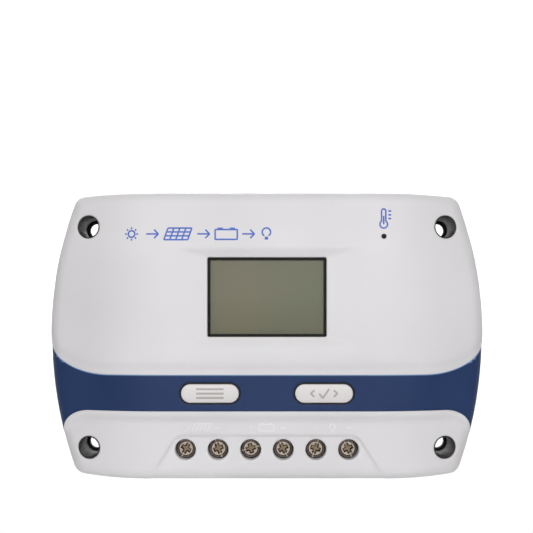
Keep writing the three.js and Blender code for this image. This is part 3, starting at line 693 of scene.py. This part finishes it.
def stripOutline(shrink):
    # the painted strip seen from the front: straight in the middle, flaring up and down at the sides
    top, bottom = strip["top"] - shrink, strip["bottom"] + shrink
    over = caseForm["halfWidth"] + 3
    startUp, rxUp, ryUp = strip["topFlare"]
    startDown, rxDown, ryDown = strip["bottomFlare"]
    quarter = np.linspace(0, math.pi / 2, 40)
    upper = [(startUp + rxUp * math.sin(t), top + ryUp * (1 - math.cos(t))) for t in quarter]
    lower = [(startDown + rxDown * math.sin(t), bottom - ryDown * (1 - math.cos(t))) for t in quarter]
    right = [(x, y) for x, y in lower] + [(over, lower[-1][1]), (over, upper[-1][1])] + upper[::-1]
    left = [(-x, y) for x, y in right[::-1]]
    return right + left


# the front cover

# ports are the wire entries under the terminals; posts and tubes start above the board
coverParts = {"portHalf": 3.8, "portLow": 13.6, "portHigh": 21.4, "portCorner": 0.8, "partsBack": 27.7,
              "partsFront": 45, "boss": 3.6, "post": 2.0, "postX": 28, "postYs": (30, -8), "pilot": 1.8,
              "wellOuter": 5.0}


def discOutline(x, y, radius, sides=48):
    return [(x + radius * math.cos(t), y + radius * math.sin(t))
            for t in np.linspace(0, 2 * math.pi, sides, endpoint=False)]


def makeCover():
    c, n = caseForm, coverParts
    back = coverBox["back"]
    shell = buildForm("caseShell", 0, back, coverHeight, coverHoles, 1.3, True)
    hollow = buildForm("hollow", c["wall"], back - 2, smoothHeight, (), 2.4)
    combine(shell, "DIFFERENCE", [hollow])
    ceiling = buildForm("ceiling", c["wall"] / 2, back, smoothHeight, (), 2.4)
    low, high = n["partsBack"], n["partsFront"]
    posts = [prism("post", discOutline(sx * n["postX"], y, n["post"], 24), low, high)
             for sx in (-1, 1) for y in n["postYs"]]
    tubes = [prism("tube", discOutline(b["x"], b["y"], n["wellOuter"]), low, high) for b in screwBoxes]
    caseScrews = [faceBox("case_screw_" + corner) for corner in cornerNames]
    bosses = [prism("boss", discOutline(b["x"], b["y"], n["boss"], 32), back, high) for b in caseScrews]
    inside = posts[0]
    combine(inside, "UNION", posts[1:] + tubes + bosses)
    combine(inside, "INTERSECT", [ceiling])
    combine(shell, "UNION", [inside])
    groove = prism("groove", stripOutline(0), 0, 50)
    core = buildForm("core", strip["depth"], back - 3, smoothHeight, (), 2.4)
    combine(groove, "DIFFERENCE", [core])
    cutters = [groove]
    cutters += [prism("hole", loopRound(h, 0, 0.4), 0 if h in wells else 20, 50) for h in coverHoles]
    cutters += [prism("slot", loopRound(s, 0, 0.4), 20, 50) for s in slots]
    cutters += [prism("pilot", discOutline(b["x"], b["y"], n["pilot"], 24), 0, b["front"] + 1)
                for b in caseScrews]
    edge = c["bottom"]
    for b in screwBoxes:
        port = opening(b["x"], (n["portLow"] + n["portHigh"]) / 2, 2 * n["portHalf"],
                       n["portHigh"] - n["portLow"], n["portCorner"], 0)
        tube = prism("port", loopRound(port, 0, 0.4), edge - 1, edge + 3)
        for v in tube.data.vertices:
            x, y, z = v.co
            v.co = (x, -z, -y)
        faceOutwards(tube)
        cutters.append(tube)
    combine(shell, "DIFFERENCE", cutters)
    return shade(shell, 30)


cover = dress(makeCover(), whiteAbs, "case", "front_cover")
print("cover made", len(cover.data.polygons))


def makeStrip():
    back = faceBox("accent_band")["back"]
    skin = buildForm("paintedStrip", strip["sunk"], back, stripHeight, slots, 1.3, True)
    core = buildForm("core", strip["sunk"] + strip["thickness"], back - 3, smoothHeight, (), 2.4)
    combine(skin, "DIFFERENCE", [core])
    combine(skin, "INTERSECT", [prism("mask", stripOutline(strip["gap"]), 0, 50)])
    combine(skin, "DIFFERENCE", [prism("slot", loopRound(s, 0, 0.4), 20, 50) for s in slots])
    near = skin.data.attributes.new("edgeNear", "FLOAT", "POINT")
    for i, v in enumerate(skin.data.vertices):
        x, y = v.co.x * 1000, v.co.z * 1000
        fromTop = strip["top"] - strip["gap"] + float(swing(x, strip["topFlare"])) - y
        near.data[i].value = max(0.0, 1 - abs(fromTop) / strip["paleEdge"])
    return shade(skin, 30)


band = dress(makeStrip(), stripPaint, "case", "accent_band")
print("strip made", len(band.data.polygons))

# linings of the four screw wells

wellLining = {"bore": 3.6, "collar": 3.95, "tube": 5.5, "foot": 2.6, "sunk": 0.3, "lip": 0.12, "sides": 72}


def makeLining(name, box):
    w = wellLining
    turns = np.linspace(0, 2 * math.pi, w["sides"], endpoint=False)

    def ring(radius, height):
        x, y = box["x"] + radius * np.cos(turns), box["y"] + radius * np.sin(turns)
        z = height(x, y) if callable(height) else np.full(len(turns), height)
        return np.column_stack([x, y, z])

    def below(depth):
        return lambda x, y: smoothHeight(x, y) - depth

    under = caseForm["wall"] + w["sunk"]
    profile = [(w["bore"], w["foot"]), (w["bore"], 12), (w["bore"], below(w["sunk"] + 0.4)),
               (w["bore"], below(w["sunk"] + w["lip"])), (w["bore"] + w["lip"], below(w["sunk"])),
               (w["collar"] - w["lip"] / 2, below(w["sunk"])), (w["collar"], below(w["sunk"] + w["lip"])),
               (w["collar"], below(under)), (w["tube"] - 0.1, below(under)), (w["tube"], below(under + 0.1)),
               (w["tube"], w["foot"])]
    rings = [ring(radius, height) for radius, height in profile]
    count = len(turns)
    faces = []
    for k in range(len(rings)):
        after = (k + 1) % len(rings)
        for i in range(count):
            j = (i + 1) % count
            faces.append((k * count + i, k * count + j, after * count + j, after * count + i))
    lining = newObject(name, toWorld(np.concatenate(rings)), faces)
    faceOutwards(lining)
    return shade(lining, 40)


for corner, box in zip(cornerNames, wellBoxes):
    lining = makeLining("wellLining" + corner.title().replace("_", ""), box)
    dress(lining, blackAbs, "case", "mount_sleeve_" + corner)
print("well linings made")

# push buttons

buttonCap = {"gap": 0.62, "edge": 0.35, "dome": 0.22, "flange": 1.0, "flangeStart": 0.9, "stem": 2.0,
             "flangeEdge": 0.3, "steps": 20}


def pillLoop(box, width, height, z):
    radius, reach = height / 2, (width - height) / 2
    right = [(box["x"] + reach + radius * math.cos(t), box["y"] + radius * math.sin(t))
             for t in np.linspace(-math.pi / 2, math.pi / 2, buttonCap["steps"])]
    left = [(2 * box["x"] - x, 2 * box["y"] - y) for x, y in right]
    return [(x, y, z) for x, y in right + left]


def loft(name, rings):
    count = len(rings[0])
    faces = [tuple(reversed(range(count)))]
    for k in range(len(rings) - 1):
        for i in range(count):
            j = (i + 1) % count
            faces.append((k * count + i, k * count + j, (k + 1) * count + j, (k + 1) * count + i))
    faces.append(tuple(range((len(rings) - 1) * count, len(rings) * count)))
    made = newObject(name, toWorld(np.concatenate([np.array(r) for r in rings])), faces)
    faceOutwards(made)
    return made


def capSize(box):
    b = buttonCap
    return (box["width"] - holeSizes["slotEdge"] - 2 * b["gap"],
            box["height"] - holeSizes["slotEdge"] - 2 * b["gap"])


def capTop(box, inward):
    # height of the cap's face, by how far in from its edge
    b = buttonCap
    half = capSize(box)[1] / 2
    edge = arcDrop(b["edge"] - np.clip(inward, 0, b["edge"]), b["edge"])
    rise = b["dome"] * (1 - np.clip(inward / half, 0, 1)) ** 2
    return box["front"] - edge - rise


def makeButton(name, box):
    b = buttonCap
    width, height = capSize(box)
    rings = [pillLoop(box, width, height, box["back"] + b["flange"])]
    insets = [b["edge"] * (1 - math.cos(t)) for t in np.linspace(0, math.pi / 2, 7)]
    insets += [1.0, 1.6, 2.3, 3.0]
    rings += [pillLoop(box, width - 2 * i, height - 2 * i, float(capTop(box, i))) for i in insets]
    cap = loft(name, rings)
    flangeBox = opening(box["x"], box["y"], box["width"], box["height"], b["flangeEdge"], 0)
    flange = prism("flange", loopRound(flangeBox), box["flangeBack"], box["flangeBack"] + b["flange"])
    stem = prism("stem", discOutline(box["x"], box["y"], b["stem"], 32), box["back"], box["flangeBack"] + 0.5)
    combine(cap, "UNION", [flange, stem])
    return shade(cap, 35)


for name, box in buttonBoxes.items():
    box["flangeBack"] = box["back"] + buttonCap["flangeStart"]
    dress(makeButton(name + "Cap", box), keyAbsPaintedShade, name + "_key", name + "_button")
print("buttons made")

# screws, all from one tree of geometry nodes

screwTree = {"sides": 64, "rings": 24, "shankSides": 32, "threadSteps": 72, "threadDepth": 0.00022,
             "heart": 1.3}  # heart is how wide the middle of the cross is, in widths of its arms


def makeTree(name, inputs):
    tree = bpy.data.node_groups.new(name, "GeometryNodeTree")
    tree.interface.new_socket("Geometry", in_out="INPUT", socket_type="NodeSocketGeometry")
    for label, kind, value in inputs:
        socket = tree.interface.new_socket(label, in_out="INPUT", socket_type="NodeSocket" + kind)
        if value is not None:
            socket.default_value = value
    tree.interface.new_socket("Geometry", in_out="OUTPUT", socket_type="NodeSocketGeometry")
    return tree, tree.nodes.new("NodeGroupInput").outputs


def finishTree(tree, geometry, material):
    real = addNode(tree, "GeometryNodeRealizeInstances", {0: geometry}).outputs[0]
    done = addNode(tree, "GeometryNodeSetMaterial", {"Geometry": real, "Material": material}).outputs[0]
    addNode(tree, "NodeGroupOutput", {0: done})


def runTree(tree, piece, values):
    modifier = piece.modifiers.new("shape", "NODES")
    modifier.node_group = tree
    identifiers = {item.name: item.identifier for item in tree.interface.items_tree
                   if item.item_type == "SOCKET" and item.in_out == "INPUT"}
    for label, value in values.items():
        modifier[identifiers[label]] = value
    return plainMesh(piece)


def makeScrewTree():
    t = screwTree
    tree, given = makeTree("turnedScrew", [
        ("Head Radius", "Float", 0.0033), ("Head Height", "Float", 0.0022), ("Edge", "Float", 0.0007),
        ("Shank Radius", "Float", 0.0019), ("Shank Length", "Float", 0.0075), ("Pitch", "Float", 0.0007),
        ("Slot Width", "Float", 0.0011), ("Slot Depth", "Float", 0.00045), ("Cross Reach", "Float", 0.0022),
        ("Cross Width", "Float", 0.0023), ("Cross Depth", "Float", 0.0012), ("Taper", "Float", 0.33),
        ("Turn", "Float", 0.0), ("Facing", "Float", math.pi / 2), ("Place", "Vector", None),
        ("Material", "Material", None)])
    maths, vector = "ShaderNodeMath", "ShaderNodeCombineXYZ"
    radius, height, edge = given["Head Radius"], given["Head Height"], given["Edge"]
    place = addNode(tree, "GeometryNodeInputPosition", {}).outputs[0]
    parts = addNode(tree, "ShaderNodeSeparateXYZ", {0: place}).outputs
    flat = addNode(tree, vector, {"X": parts["X"], "Y": parts["Y"]}).outputs[0]
    reach = addNode(tree, "ShaderNodeVectorMath", {"operation": "LENGTH", 0: flat}).outputs["Value"]

    # the head: a disc whose upper edge is rounded over
    level = addNode(tree, maths, {"operation": "SUBTRACT", 0: radius, 1: edge}).outputs[0]
    past = addNode(tree, maths, {"operation": "SUBTRACT", 0: reach, 1: level}).outputs[0]
    over = addNode(tree, maths, {"operation": "MAXIMUM", 0: past, 1: 0.0}).outputs[0]
    edgeSquared = addNode(tree, maths, {"operation": "MULTIPLY", 0: edge, 1: edge}).outputs[0]
    overSquared = addNode(tree, maths, {"operation": "MULTIPLY", 0: over, 1: over}).outputs[0]
    left = addNode(tree, maths, {"operation": "SUBTRACT", 0: edgeSquared, 1: overSquared}).outputs[0]
    kept = addNode(tree, maths, {"operation": "MAXIMUM", 0: left, 1: 0.0}).outputs[0]
    root = addNode(tree, maths, {"operation": "SQRT", 0: kept}).outputs[0]
    drop = addNode(tree, maths, {"operation": "SUBTRACT", 0: root, 1: edge}).outputs[0]
    onTop = addNode(tree, maths, {"operation": "GREATER_THAN", 0: parts["Z"], 1: 0.0}).outputs[0]
    lowering = addNode(tree, maths, {"operation": "MULTIPLY", 0: drop, 1: onTop}).outputs[0]
    lowered = addNode(tree, vector, {"Z": lowering}).outputs[0]
    disc = addNode(tree, "GeometryNodeMeshCylinder", {
        "Vertices": t["sides"], "Fill Segments": t["rings"],
        "Radius": radius, "Depth": height}).outputs["Mesh"]
    head = addNode(tree, "GeometryNodeSetPosition", {"Geometry": disc, "Offset": lowered}).outputs[0]

    # the recess: a straight slot, and a shorter cross sunk deeper, both narrowing towards the bottom
    top = addNode(tree, maths, {"operation": "MULTIPLY", 0: height, 1: 0.5}).outputs[0]
    face = addNode(tree, vector, {"Z": top}).outputs[0]
    away = addNode(tree, maths, {"operation": "ABSOLUTE", 0: parts["Z"]}).outputs[0]
    sunk = addNode(tree, maths, {"operation": "SUBTRACT", 0: parts["Z"], 1: away}).outputs[0]
    inset = addNode(tree, maths, {"operation": "MULTIPLY", 0: sunk, 1: given["Taper"]}).outputs[0]
    sides = []
    for axis in ("X", "Y"):
        side = addNode(tree, maths, {"operation": "SIGN", 0: parts[axis]}).outputs[0]
        sides.append(addNode(tree, maths, {"operation": "MULTIPLY", 0: side, 1: inset}).outputs[0])
    narrowing = addNode(tree, vector, {"X": sides[0], "Y": sides[1]}).outputs[0]
    wide = addNode(tree, maths, {"operation": "MULTIPLY", 0: radius, 1: 2.5}).outputs[0]
    longArm = addNode(tree, maths, {"operation": "MULTIPLY", 0: given["Cross Reach"], 1: 2.0}).outputs[0]
    heart = addNode(tree, maths, {"operation": "MULTIPLY", 0: given["Cross Width"], 1: t["heart"]}).outputs[0]
    shapes = [(wide, given["Slot Width"], given["Slot Depth"], 0),
              (longArm, given["Cross Width"], given["Cross Depth"], 0),
              (given["Cross Width"], longArm, given["Cross Depth"], 0),
              (heart, heart, given["Cross Depth"], math.pi / 4)]
    for sizeX, sizeY, depth, turned in shapes:
        tall = addNode(tree, maths, {"operation": "MULTIPLY", 0: depth, 1: 2.0}).outputs[0]
        size = addNode(tree, vector, {"X": sizeX, "Y": sizeY, "Z": tall}).outputs[0]
        block = addNode(tree, "GeometryNodeMeshCube", {"Size": size}).outputs["Mesh"]
        block = addNode(tree, "GeometryNodeSetPosition", {"Geometry": block, "Offset": narrowing}).outputs[0]
        cutter = addNode(tree, "GeometryNodeTransform", {
            "Geometry": block, "Translation": face, "Rotation": (0, 0, turned)}).outputs[0]
        head = addNode(tree, "GeometryNodeMeshBoolean", {
            "operation": "DIFFERENCE", "solver": "MANIFOLD",
            "Mesh 1": head, "Mesh 2": cutter}).outputs["Mesh"]

    # the shank: its radius rises and falls along a helix
    angle = addNode(tree, maths, {"operation": "ARCTAN2", 0: parts["Y"], 1: parts["X"]}).outputs[0]
    turn = addNode(tree, maths, {"operation": "DIVIDE", 0: angle, 1: 2 * math.pi}).outputs[0]
    along = addNode(tree, maths, {"operation": "DIVIDE", 0: parts["Z"], 1: given["Pitch"]}).outputs[0]
    phase = addNode(tree, maths, {"operation": "SUBTRACT", 0: along, 1: turn}).outputs[0]
    swell = addNode(tree, maths, {"operation": "PINGPONG", 0: phase, 1: 0.5}).outputs[0]
    wave = addNode(tree, maths, {"operation": "MULTIPLY", 0: swell, 1: -2 * t["threadDepth"]}).outputs[0]
    outward = addNode(tree, "ShaderNodeVectorMath", {"operation": "NORMALIZE", 0: flat}).outputs[0]
    thread = addNode(tree, "ShaderNodeVectorMath", {
        "operation": "SCALE", 0: outward, "Scale": wave}).outputs[0]
    rod = addNode(tree, "GeometryNodeMeshCylinder", {
        "Vertices": t["shankSides"], "Side Segments": t["threadSteps"],
        "Radius": given["Shank Radius"], "Depth": given["Shank Length"]}).outputs["Mesh"]
    rod = addNode(tree, "GeometryNodeSetPosition", {"Geometry": rod, "Offset": thread}).outputs[0]
    full = addNode(tree, maths, {"operation": "ADD", 0: height, 1: given["Shank Length"]}).outputs[0]
    middle = addNode(tree, maths, {"operation": "MULTIPLY", 0: full, 1: -0.49}).outputs[0]
    lower = addNode(tree, vector, {"Z": middle}).outputs[0]
    rod = addNode(tree, "GeometryNodeTransform", {"Geometry": rod, "Translation": lower}).outputs[0]

    both = addNode(tree, "GeometryNodeMeshBoolean", {"operation": "UNION", "solver": "MANIFOLD"})
    tree.links.new(head, both.inputs["Mesh 2"])
    tree.links.new(rod, both.inputs["Mesh 2"])
    marked = addNode(tree, "GeometryNodeStoreNamedAttribute", {
        "Name": "fromAxis", "Geometry": both.outputs["Mesh"], "Value": reach}).outputs[0]
    spin = addNode(tree, vector, {"Z": given["Turn"]}).outputs[0]
    spun = addNode(tree, "GeometryNodeTransform", {"Geometry": marked, "Rotation": spin}).outputs[0]
    tip = addNode(tree, vector, {"X": given["Facing"]}).outputs[0]
    put = addNode(tree, "GeometryNodeTransform", {
        "Geometry": spun, "Rotation": tip, "Translation": given["Place"]}).outputs[0]
    finishTree(tree, put, given["Material"])
    return tree


screwShape = makeScrewTree()
# each terminal screw was left at its own angle, in degrees, when last tightened
terminalScrew = {"headHeight": 2.2, "turns": (62, -68, 14, -62, 70, -65)}
for i, box in enumerate(screwBoxes):
    headHeight = terminalScrew["headHeight"]
    middle = toWorld([box["x"], box["y"], box["front"] - headHeight / 2])
    screw = newObject("terminalScrew%d" % (i + 1), [], [])
    runTree(screwShape, screw, {
        "Turn": math.radians(terminalScrew["turns"][i]), "Place": tuple(middle), "Material": screwNickelPaintedLight,
        "Shank Length": (box["front"] - box["back"] - headHeight) / 1000})
    dress(shade(screw, 35), screwNickelPaintedLight, "screw_%d" % (i + 1), "terminal_screw_%d" % (i + 1))

# the case screws, in metres as the tree's inputs are; they face the wall
caseScrewSize = {"Head Radius": 0.0028, "Head Height": 0.0017, "Edge": 0.0005, "Shank Radius": 0.0015,
                 "Pitch": 0.0011, "Slot Width": 0.0007, "Slot Depth": 0.0009, "Cross Reach": 0.0016,
                 "Cross Width": 0.0007, "Cross Depth": 0.0009, "Taper": 0.05,
                 "Facing": -math.pi / 2, "Turn": 0.4}
for corner in cornerNames:
    box = faceBox("case_screw_" + corner)
    middle = toWorld([box["x"], box["y"], box["back"] + caseScrewSize["Head Height"] * 500])
    screw = newObject("caseScrew" + corner.title().replace("_", ""), [], [])
    length = (box["front"] - box["back"]) / 1000 - caseScrewSize["Head Height"]
    runTree(screwShape, screw, {**caseScrewSize, "Place": tuple(middle), "Shank Length": length,
                                "Material": zincPlate})
    dress(shade(screw, 35), zincPlate, "case", "case_screw_" + corner)
print("screws made")

# raised signs and printed pictograms: strokes laid on the surface


def makeStrokeTree():
    tree, given = makeTree("surfaceStroke", [
        ("Width", "Float", 0.5), ("Height", "Float", 0.1), ("Spacing", "Float", 0.3),
        ("Material", "Material", None)])
    lines = addNode(tree, "GeometryNodeMeshToCurve", {"Mesh": given["Geometry"]}).outputs[0]
    even = addNode(tree, "GeometryNodeResampleCurve", {
        "mode": "LENGTH", "Curve": lines, "Length": given["Spacing"]}).outputs[0]
    level = addNode(tree, "GeometryNodeSetCurveNormal", {"mode": "Z_UP", "Curve": even}).outputs[0]
    section = addNode(tree, "GeometryNodeCurvePrimitiveQuadrilateral", {
        "Width": given["Width"], "Height": given["Height"]}).outputs[0]
    solid = addNode(tree, "GeometryNodeCurveToMesh", {
        "Fill Caps": True, "Curve": level, "Profile Curve": section}).outputs[0]
    finishTree(tree, solid, given["Material"])
    return tree


strokeShape = makeStrokeTree()


def circleLine(x, y, radius, start=0.0, end=360.0, steps=28):
    return [(x + radius * math.cos(math.radians(a)), y + radius * math.sin(math.radians(a)))
            for a in np.linspace(start, end, steps)]


def plusSign(size):
    return [[(-size / 2, 0), (size / 2, 0)], [(0, -size / 2), (0, size / 2)]]


def minusSign(size):
    return [[(-size / 2, 0), (size / 2, 0)]]


def panelSign(width, height, lean=0.35, rows=3, columns=4):
    def corner(u, v):
        return (width * (u - 0.5) + lean * height * (v - 0.5), height * (v - 0.5))

    across = [[corner(0, v), corner(1, v)] for v in np.linspace(0, 1, rows + 1)]
    return across + [[corner(u, 0), corner(u, 1)] for u in np.linspace(0, 1, columns + 1)]


def batterySign(width, height):
    w, h = width / 2, height / 2
    case = [(-w, -h), (w, -h), (w, h), (-w, h), (-w, -h)]
    level = h + 0.12 * height
    posts = [[(s * 0.55 * w - 0.12 * width, level), (s * 0.55 * w + 0.12 * width, level)] for s in (-1, 1)]
    return [case] + posts


def lampSign(radius):
    neck = [[(-0.4 * radius, -s * radius), (0.4 * radius, -s * radius)] for s in (1.25, 1.6)]
    return [circleLine(0, 0, radius, -60, 240)] + neck


def sunSign(radius):
    rays = [[(radius * 1.45 * math.cos(a), radius * 1.45 * math.sin(a)),
             (radius * 2.0 * math.cos(a), radius * 2.0 * math.sin(a))]
            for a in np.linspace(0, 2 * math.pi, 8, endpoint=False)]
    return [circleLine(0, 0, radius)] + rays


def arrowSign(length):
    head = length * 0.35
    return [[(-length / 2, 0), (length / 2, 0)],
            [(length / 2 - head, head), (length / 2, 0), (length / 2 - head, -head)]]


def thermometerSign(height):
    bulb, stem = height * 0.2, height * 0.11
    top = height / 2 - stem
    low = -height / 2 + bulb
    angle = math.degrees(math.asin(stem / bulb))
    around = circleLine(0, low, bulb, 90 + angle, 450 - angle)
    column = [[(0, low), (0, top - height * 0.25)]]
    ticks = [[(stem * 2.2, y), (stem * 3.6, y)] for y in np.linspace(0, top, 3)]
    return [around + circleLine(0, top, stem, 0, 180, 12) + [around[0]]] + column + ticks


def barsSign(width, height):
    return [[(-width / 2, y), (width / 2, y)] for y in (-height / 2, 0, height / 2)]


def tickSign(width, height):
    # a tick between two chevrons
    w, h = width / 2, height / 2
    tick = [(-w * 0.36, 0), (-w * 0.1, -h), (w * 0.38, h)]
    chevrons = [[(s * w * 0.72, h * 0.7), (s * w, 0), (s * w * 0.72, -h * 0.7)] for s in (-1, 1)]
    return [tick] + chevrons


def drawSigns(name, signs, stroke, surface, material, body):
    # signs are (lines, x, y); stroke is its width, how far it stands out and how far it goes in
    width, proud, under = stroke
    points, edges = [], []
    for lines, x, y in signs:
        for line in lines:
            start = len(points)
            closed = math.dist(line[0], line[-1]) < 1e-6
            kept = line[:-1] if closed else line
            points += [(px + x, py + y, 0) for px, py in kept]
            edges += [(start + k, start + k + 1) for k in range(len(kept) - 1)]
            if closed:
                edges.append((start + len(kept) - 1, start))
    mesh = bpy.data.meshes.new(name)
    mesh.from_pydata(points, edges, [])
    piece = bpy.data.objects.new(name, mesh)
    bpy.context.scene.collection.objects.link(piece)
    runTree(strokeShape, piece, {"Width": width, "Height": proud + under, "Material": material})
    flat = np.array([v.co for v in piece.data.vertices])
    lifted = surface(flat[:, 0], flat[:, 1]) + flat[:, 2] + (proud - under) / 2
    placed = toWorld(np.column_stack([flat[:, 0], flat[:, 1], lifted]))
    for v, co in zip(piece.data.vertices, placed):
        v.co = co
    piece.data.update()
    faceOutwards(piece)
    piece.data.materials.clear()
    piece.data.materials.append(material)
    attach(piece, body)
    return shade(piece, 30)


# strokes are width, proud and under; the three relief groups stand over pairs of terminals, from each plus
signSizes = {"relief": (0.36, 0.16, 0.15), "ink": (0.55, 0.03, 0.05), "keyInk": (0.68, 0.03, 0.05),
             "reliefY": -31.0, "groups": (-28.4, -5.9, 16.8), "toMiddle": 5.7, "mark": 1.7,
             "titleY": 35.7, "labelX": 40.1, "labelY": 41.0}
reliefSigns = []
drawn = (panelSign(5.2, 2.8, 0.45, 1, 4), batterySign(5.0, 2.2), lampSign(1.0))
for left, lines, lift in zip(signSizes["groups"], drawn, (0, 0, 0.3)):
    y, step = signSizes["reliefY"], signSizes["toMiddle"]
    reliefSigns += [(plusSign(signSizes["mark"]), left, y), (lines, left + step, y + lift),
                    (minusSign(signSizes["mark"]), left + 2 * step, y)]
# the relief signs are drawn in a paler colour, a painted highlight
drawSigns("terminalSigns", reliefSigns, signSizes["relief"], coverHeight, reliefAbsPaintedHighlight, "case")

titleY = signSizes["titleY"]
titleSigns = [(sunSign(1.15), -46.6, titleY), (arrowSign(4.2), -39.4, titleY),
              (panelSign(8.2, 4.0), -30.6, titleY), (arrowSign(4.2), -21.8, titleY),
              (batterySign(7.6, 3.4), -14.0, titleY - 0.2), (arrowSign(4.2), -6.4, titleY),
              (lampSign(1.45), -0.2, titleY + 0.6)]
drawSigns("titlePictograms", titleSigns, signSizes["ink"], coverHeight, blueInk, "case")
sensorSigns = [(thermometerSign(6.6), signSizes["labelX"], signSizes["labelY"])]
drawSigns("sensorPictogram", sensorSigns, signSizes["ink"], coverHeight, blueInk, "case")

for name, sign in (("menu", barsSign(9.4, 3.0)), ("set", tickSign(9.2, 3.2))):
    box = buttonBoxes[name]
    width, height = capSize(box)
    pill = opening(box["x"], box["y"], width, height, height / 2, 0)

    def capSurface(x, y, box=box, pill=pill):
        return capTop(box, -depthInto(pill, x, y))

    keySigns = [(sign, box["x"], box["y"])]
    drawSigns(name + "Pictogram", keySigns, signSizes["keyInk"], capSurface, greyInk, name + "_key")
print("signs drawn")

# pieces whose CAD shape is right: the same shape with softened edges


def softened(node, width):
    piece = bpy.data.objects.new(node + "Soft", frame["nodes"][node].data.copy())
    bpy.context.scene.collection.objects.link(piece)
    work = bmesh.new()
    work.from_mesh(piece.data)
    bmesh.ops.remove_doubles(work, verts=work.verts, dist=1e-6)
    bmesh.ops.dissolve_limit(work, angle_limit=math.radians(1), verts=work.verts, edges=work.edges)
    work.to_mesh(piece.data)
    work.free()
    bevel = piece.modifiers.new("edges", "BEVEL")
    bevel.width = width / 1000
    bevel.segments = 2
    bevel.limit_method = "ANGLE"
    bevel.angle_limit = math.radians(40)
    bevel.use_clamp_overlap = True
    return shade(plainMesh(piece), 30)


# nodes, their material and how wide their edges are softened
softPieces = [
    (["heatsink_base"], blackAnodised, 0.3),
    (["terminal_block", "board_header"], nylonBlack, 0.12),
    (["microcontroller", "menu_switch", "set_switch", "mosfet_1", "mosfet_2", "mosfet_3", "mosfet_4"],
     epoxyBlack, 0.1),
    (["temperature_sensor"], epoxyBlack, 0.05),
    (["menu_plunger", "set_plunger"], nylonBlack, 0.1),
    (["main_board", "display_board"], boardLacquer, 0.1),
    (["lcd_backlight"], milkyAcrylic, 0.3),
    (["lcd_panel"], displayFilm, 0.1),
    (["lens_mask"], blackInk, 0.04),
    (["display_lens"], windowAcrylic, 0.15),
    (["capacitor_menu_side", "capacitor_set_side"], shrinkSleeve, 0.4),
    (["board_standoff_" + corner for corner in cornerNames], turnedBrass, 0.15),
    (["current_shunt"] + ["terminal_contact_%d" % (i + 1) for i in range(6)], tinPlate, 0.12),
    (["clamp_cage_%d" % (i + 1) for i in range(6)], nickelPlate, 0.15),
]
for nodes, material, width in softPieces:
    for node in nodes:
        dress(softened(node, width), material, bodyOf[node], node)
print("inner pieces finished")

# surroundings, light and camera


# the background paper, in metres: a level floor that curves up into a wall
paperSweep = {"floor": -0.9, "back": 1.0, "front": -1.2, "top": 4.0, "bend": 0.5, "half": 6.0}


def makeSweep():
    p = paperSweep
    bend = [(p["back"] - p["bend"] + p["bend"] * math.sin(t), p["floor"] + p["bend"] * (1 - math.cos(t)))
            for t in np.linspace(0, math.pi / 2, 24)]
    line = [(p["front"], p["floor"])] + bend + [(p["back"], p["top"])]
    vertices = [(x, y, z) for y, z in line for x in (-p["half"], p["half"])]
    faces = [(2 * i, 2 * i + 1, 2 * i + 3, 2 * i + 2) for i in range(len(line) - 1)]
    sweep = newObject("paperSweep", vertices, faces)
    sweep.data.materials.append(whitePaper)
    sweep.data.shade_smooth()


makeSweep()

# level and square to the case, a little over half a metre away; the shifts slide the view without tilting it
cameraSetup = {"distance": 0.56, "height": 0.01146, "lens": 102.8, "sensor": 36, "shift": (-0.0009, 0.0713),
               "clip": (0.01, 20)}


def makeCamera():
    c = cameraSetup
    data = bpy.data.cameras.new("camera")
    data.sensor_width = c["sensor"]
    data.lens = c["lens"]
    data.shift_x, data.shift_y = c["shift"]
    data.clip_start, data.clip_end = c["clip"]
    camera = bpy.data.objects.new("camera", data)
    camera.location = (0, -c["distance"], c["height"])
    camera.rotation_euler = (math.pi / 2, 0, 0)
    bpy.context.scene.collection.objects.link(camera)
    bpy.context.scene.camera = camera


# place, size, power and aim of each softbox: two face the case, and the wash lights the paper behind it
softboxes = {
    "key": ((0.06, -1.45, 0.42), (1.7, 1.0), 16.8, (0, -0.02, 0)),
    "top": ((-0.1, -0.3, 0.9), (0.8, 0.4), 0.8, (0, -0.02, 0)),
    "wash": ((0, 0.3, 0.75), (1.8, 0.3), 24, (0, 1.0, 0.75)),
}
worldLight = {"colour": "#ffffff", "strength": 0.24}


def areaLight(name, place, size, power, aim):
    data = bpy.data.lights.new(name, "AREA")
    data.shape = "RECTANGLE"
    data.size, data.size_y = size
    data.energy = power
    lamp = bpy.data.objects.new(name, data)
    lamp.location = place
    lamp.rotation_euler = (Vector(aim) - Vector(place)).to_track_quat("-Z", "Y").to_euler()
    bpy.context.scene.collection.objects.link(lamp)


makeCamera()
for name, (place, size, power, aim) in softboxes.items():
    areaLight(name, place, size, power, aim)
world = bpy.data.worlds.new("softRoom")
world.use_nodes = True
world.node_tree.nodes["Background"].inputs["Color"].default_value = hexColour(worldLight["colour"])
world.node_tree.nodes["Background"].inputs["Strength"].default_value = worldLight["strength"]
bpy.context.scene.world = world
bpy.context.scene.view_settings.view_transform = "Standard"
print("light and camera set")
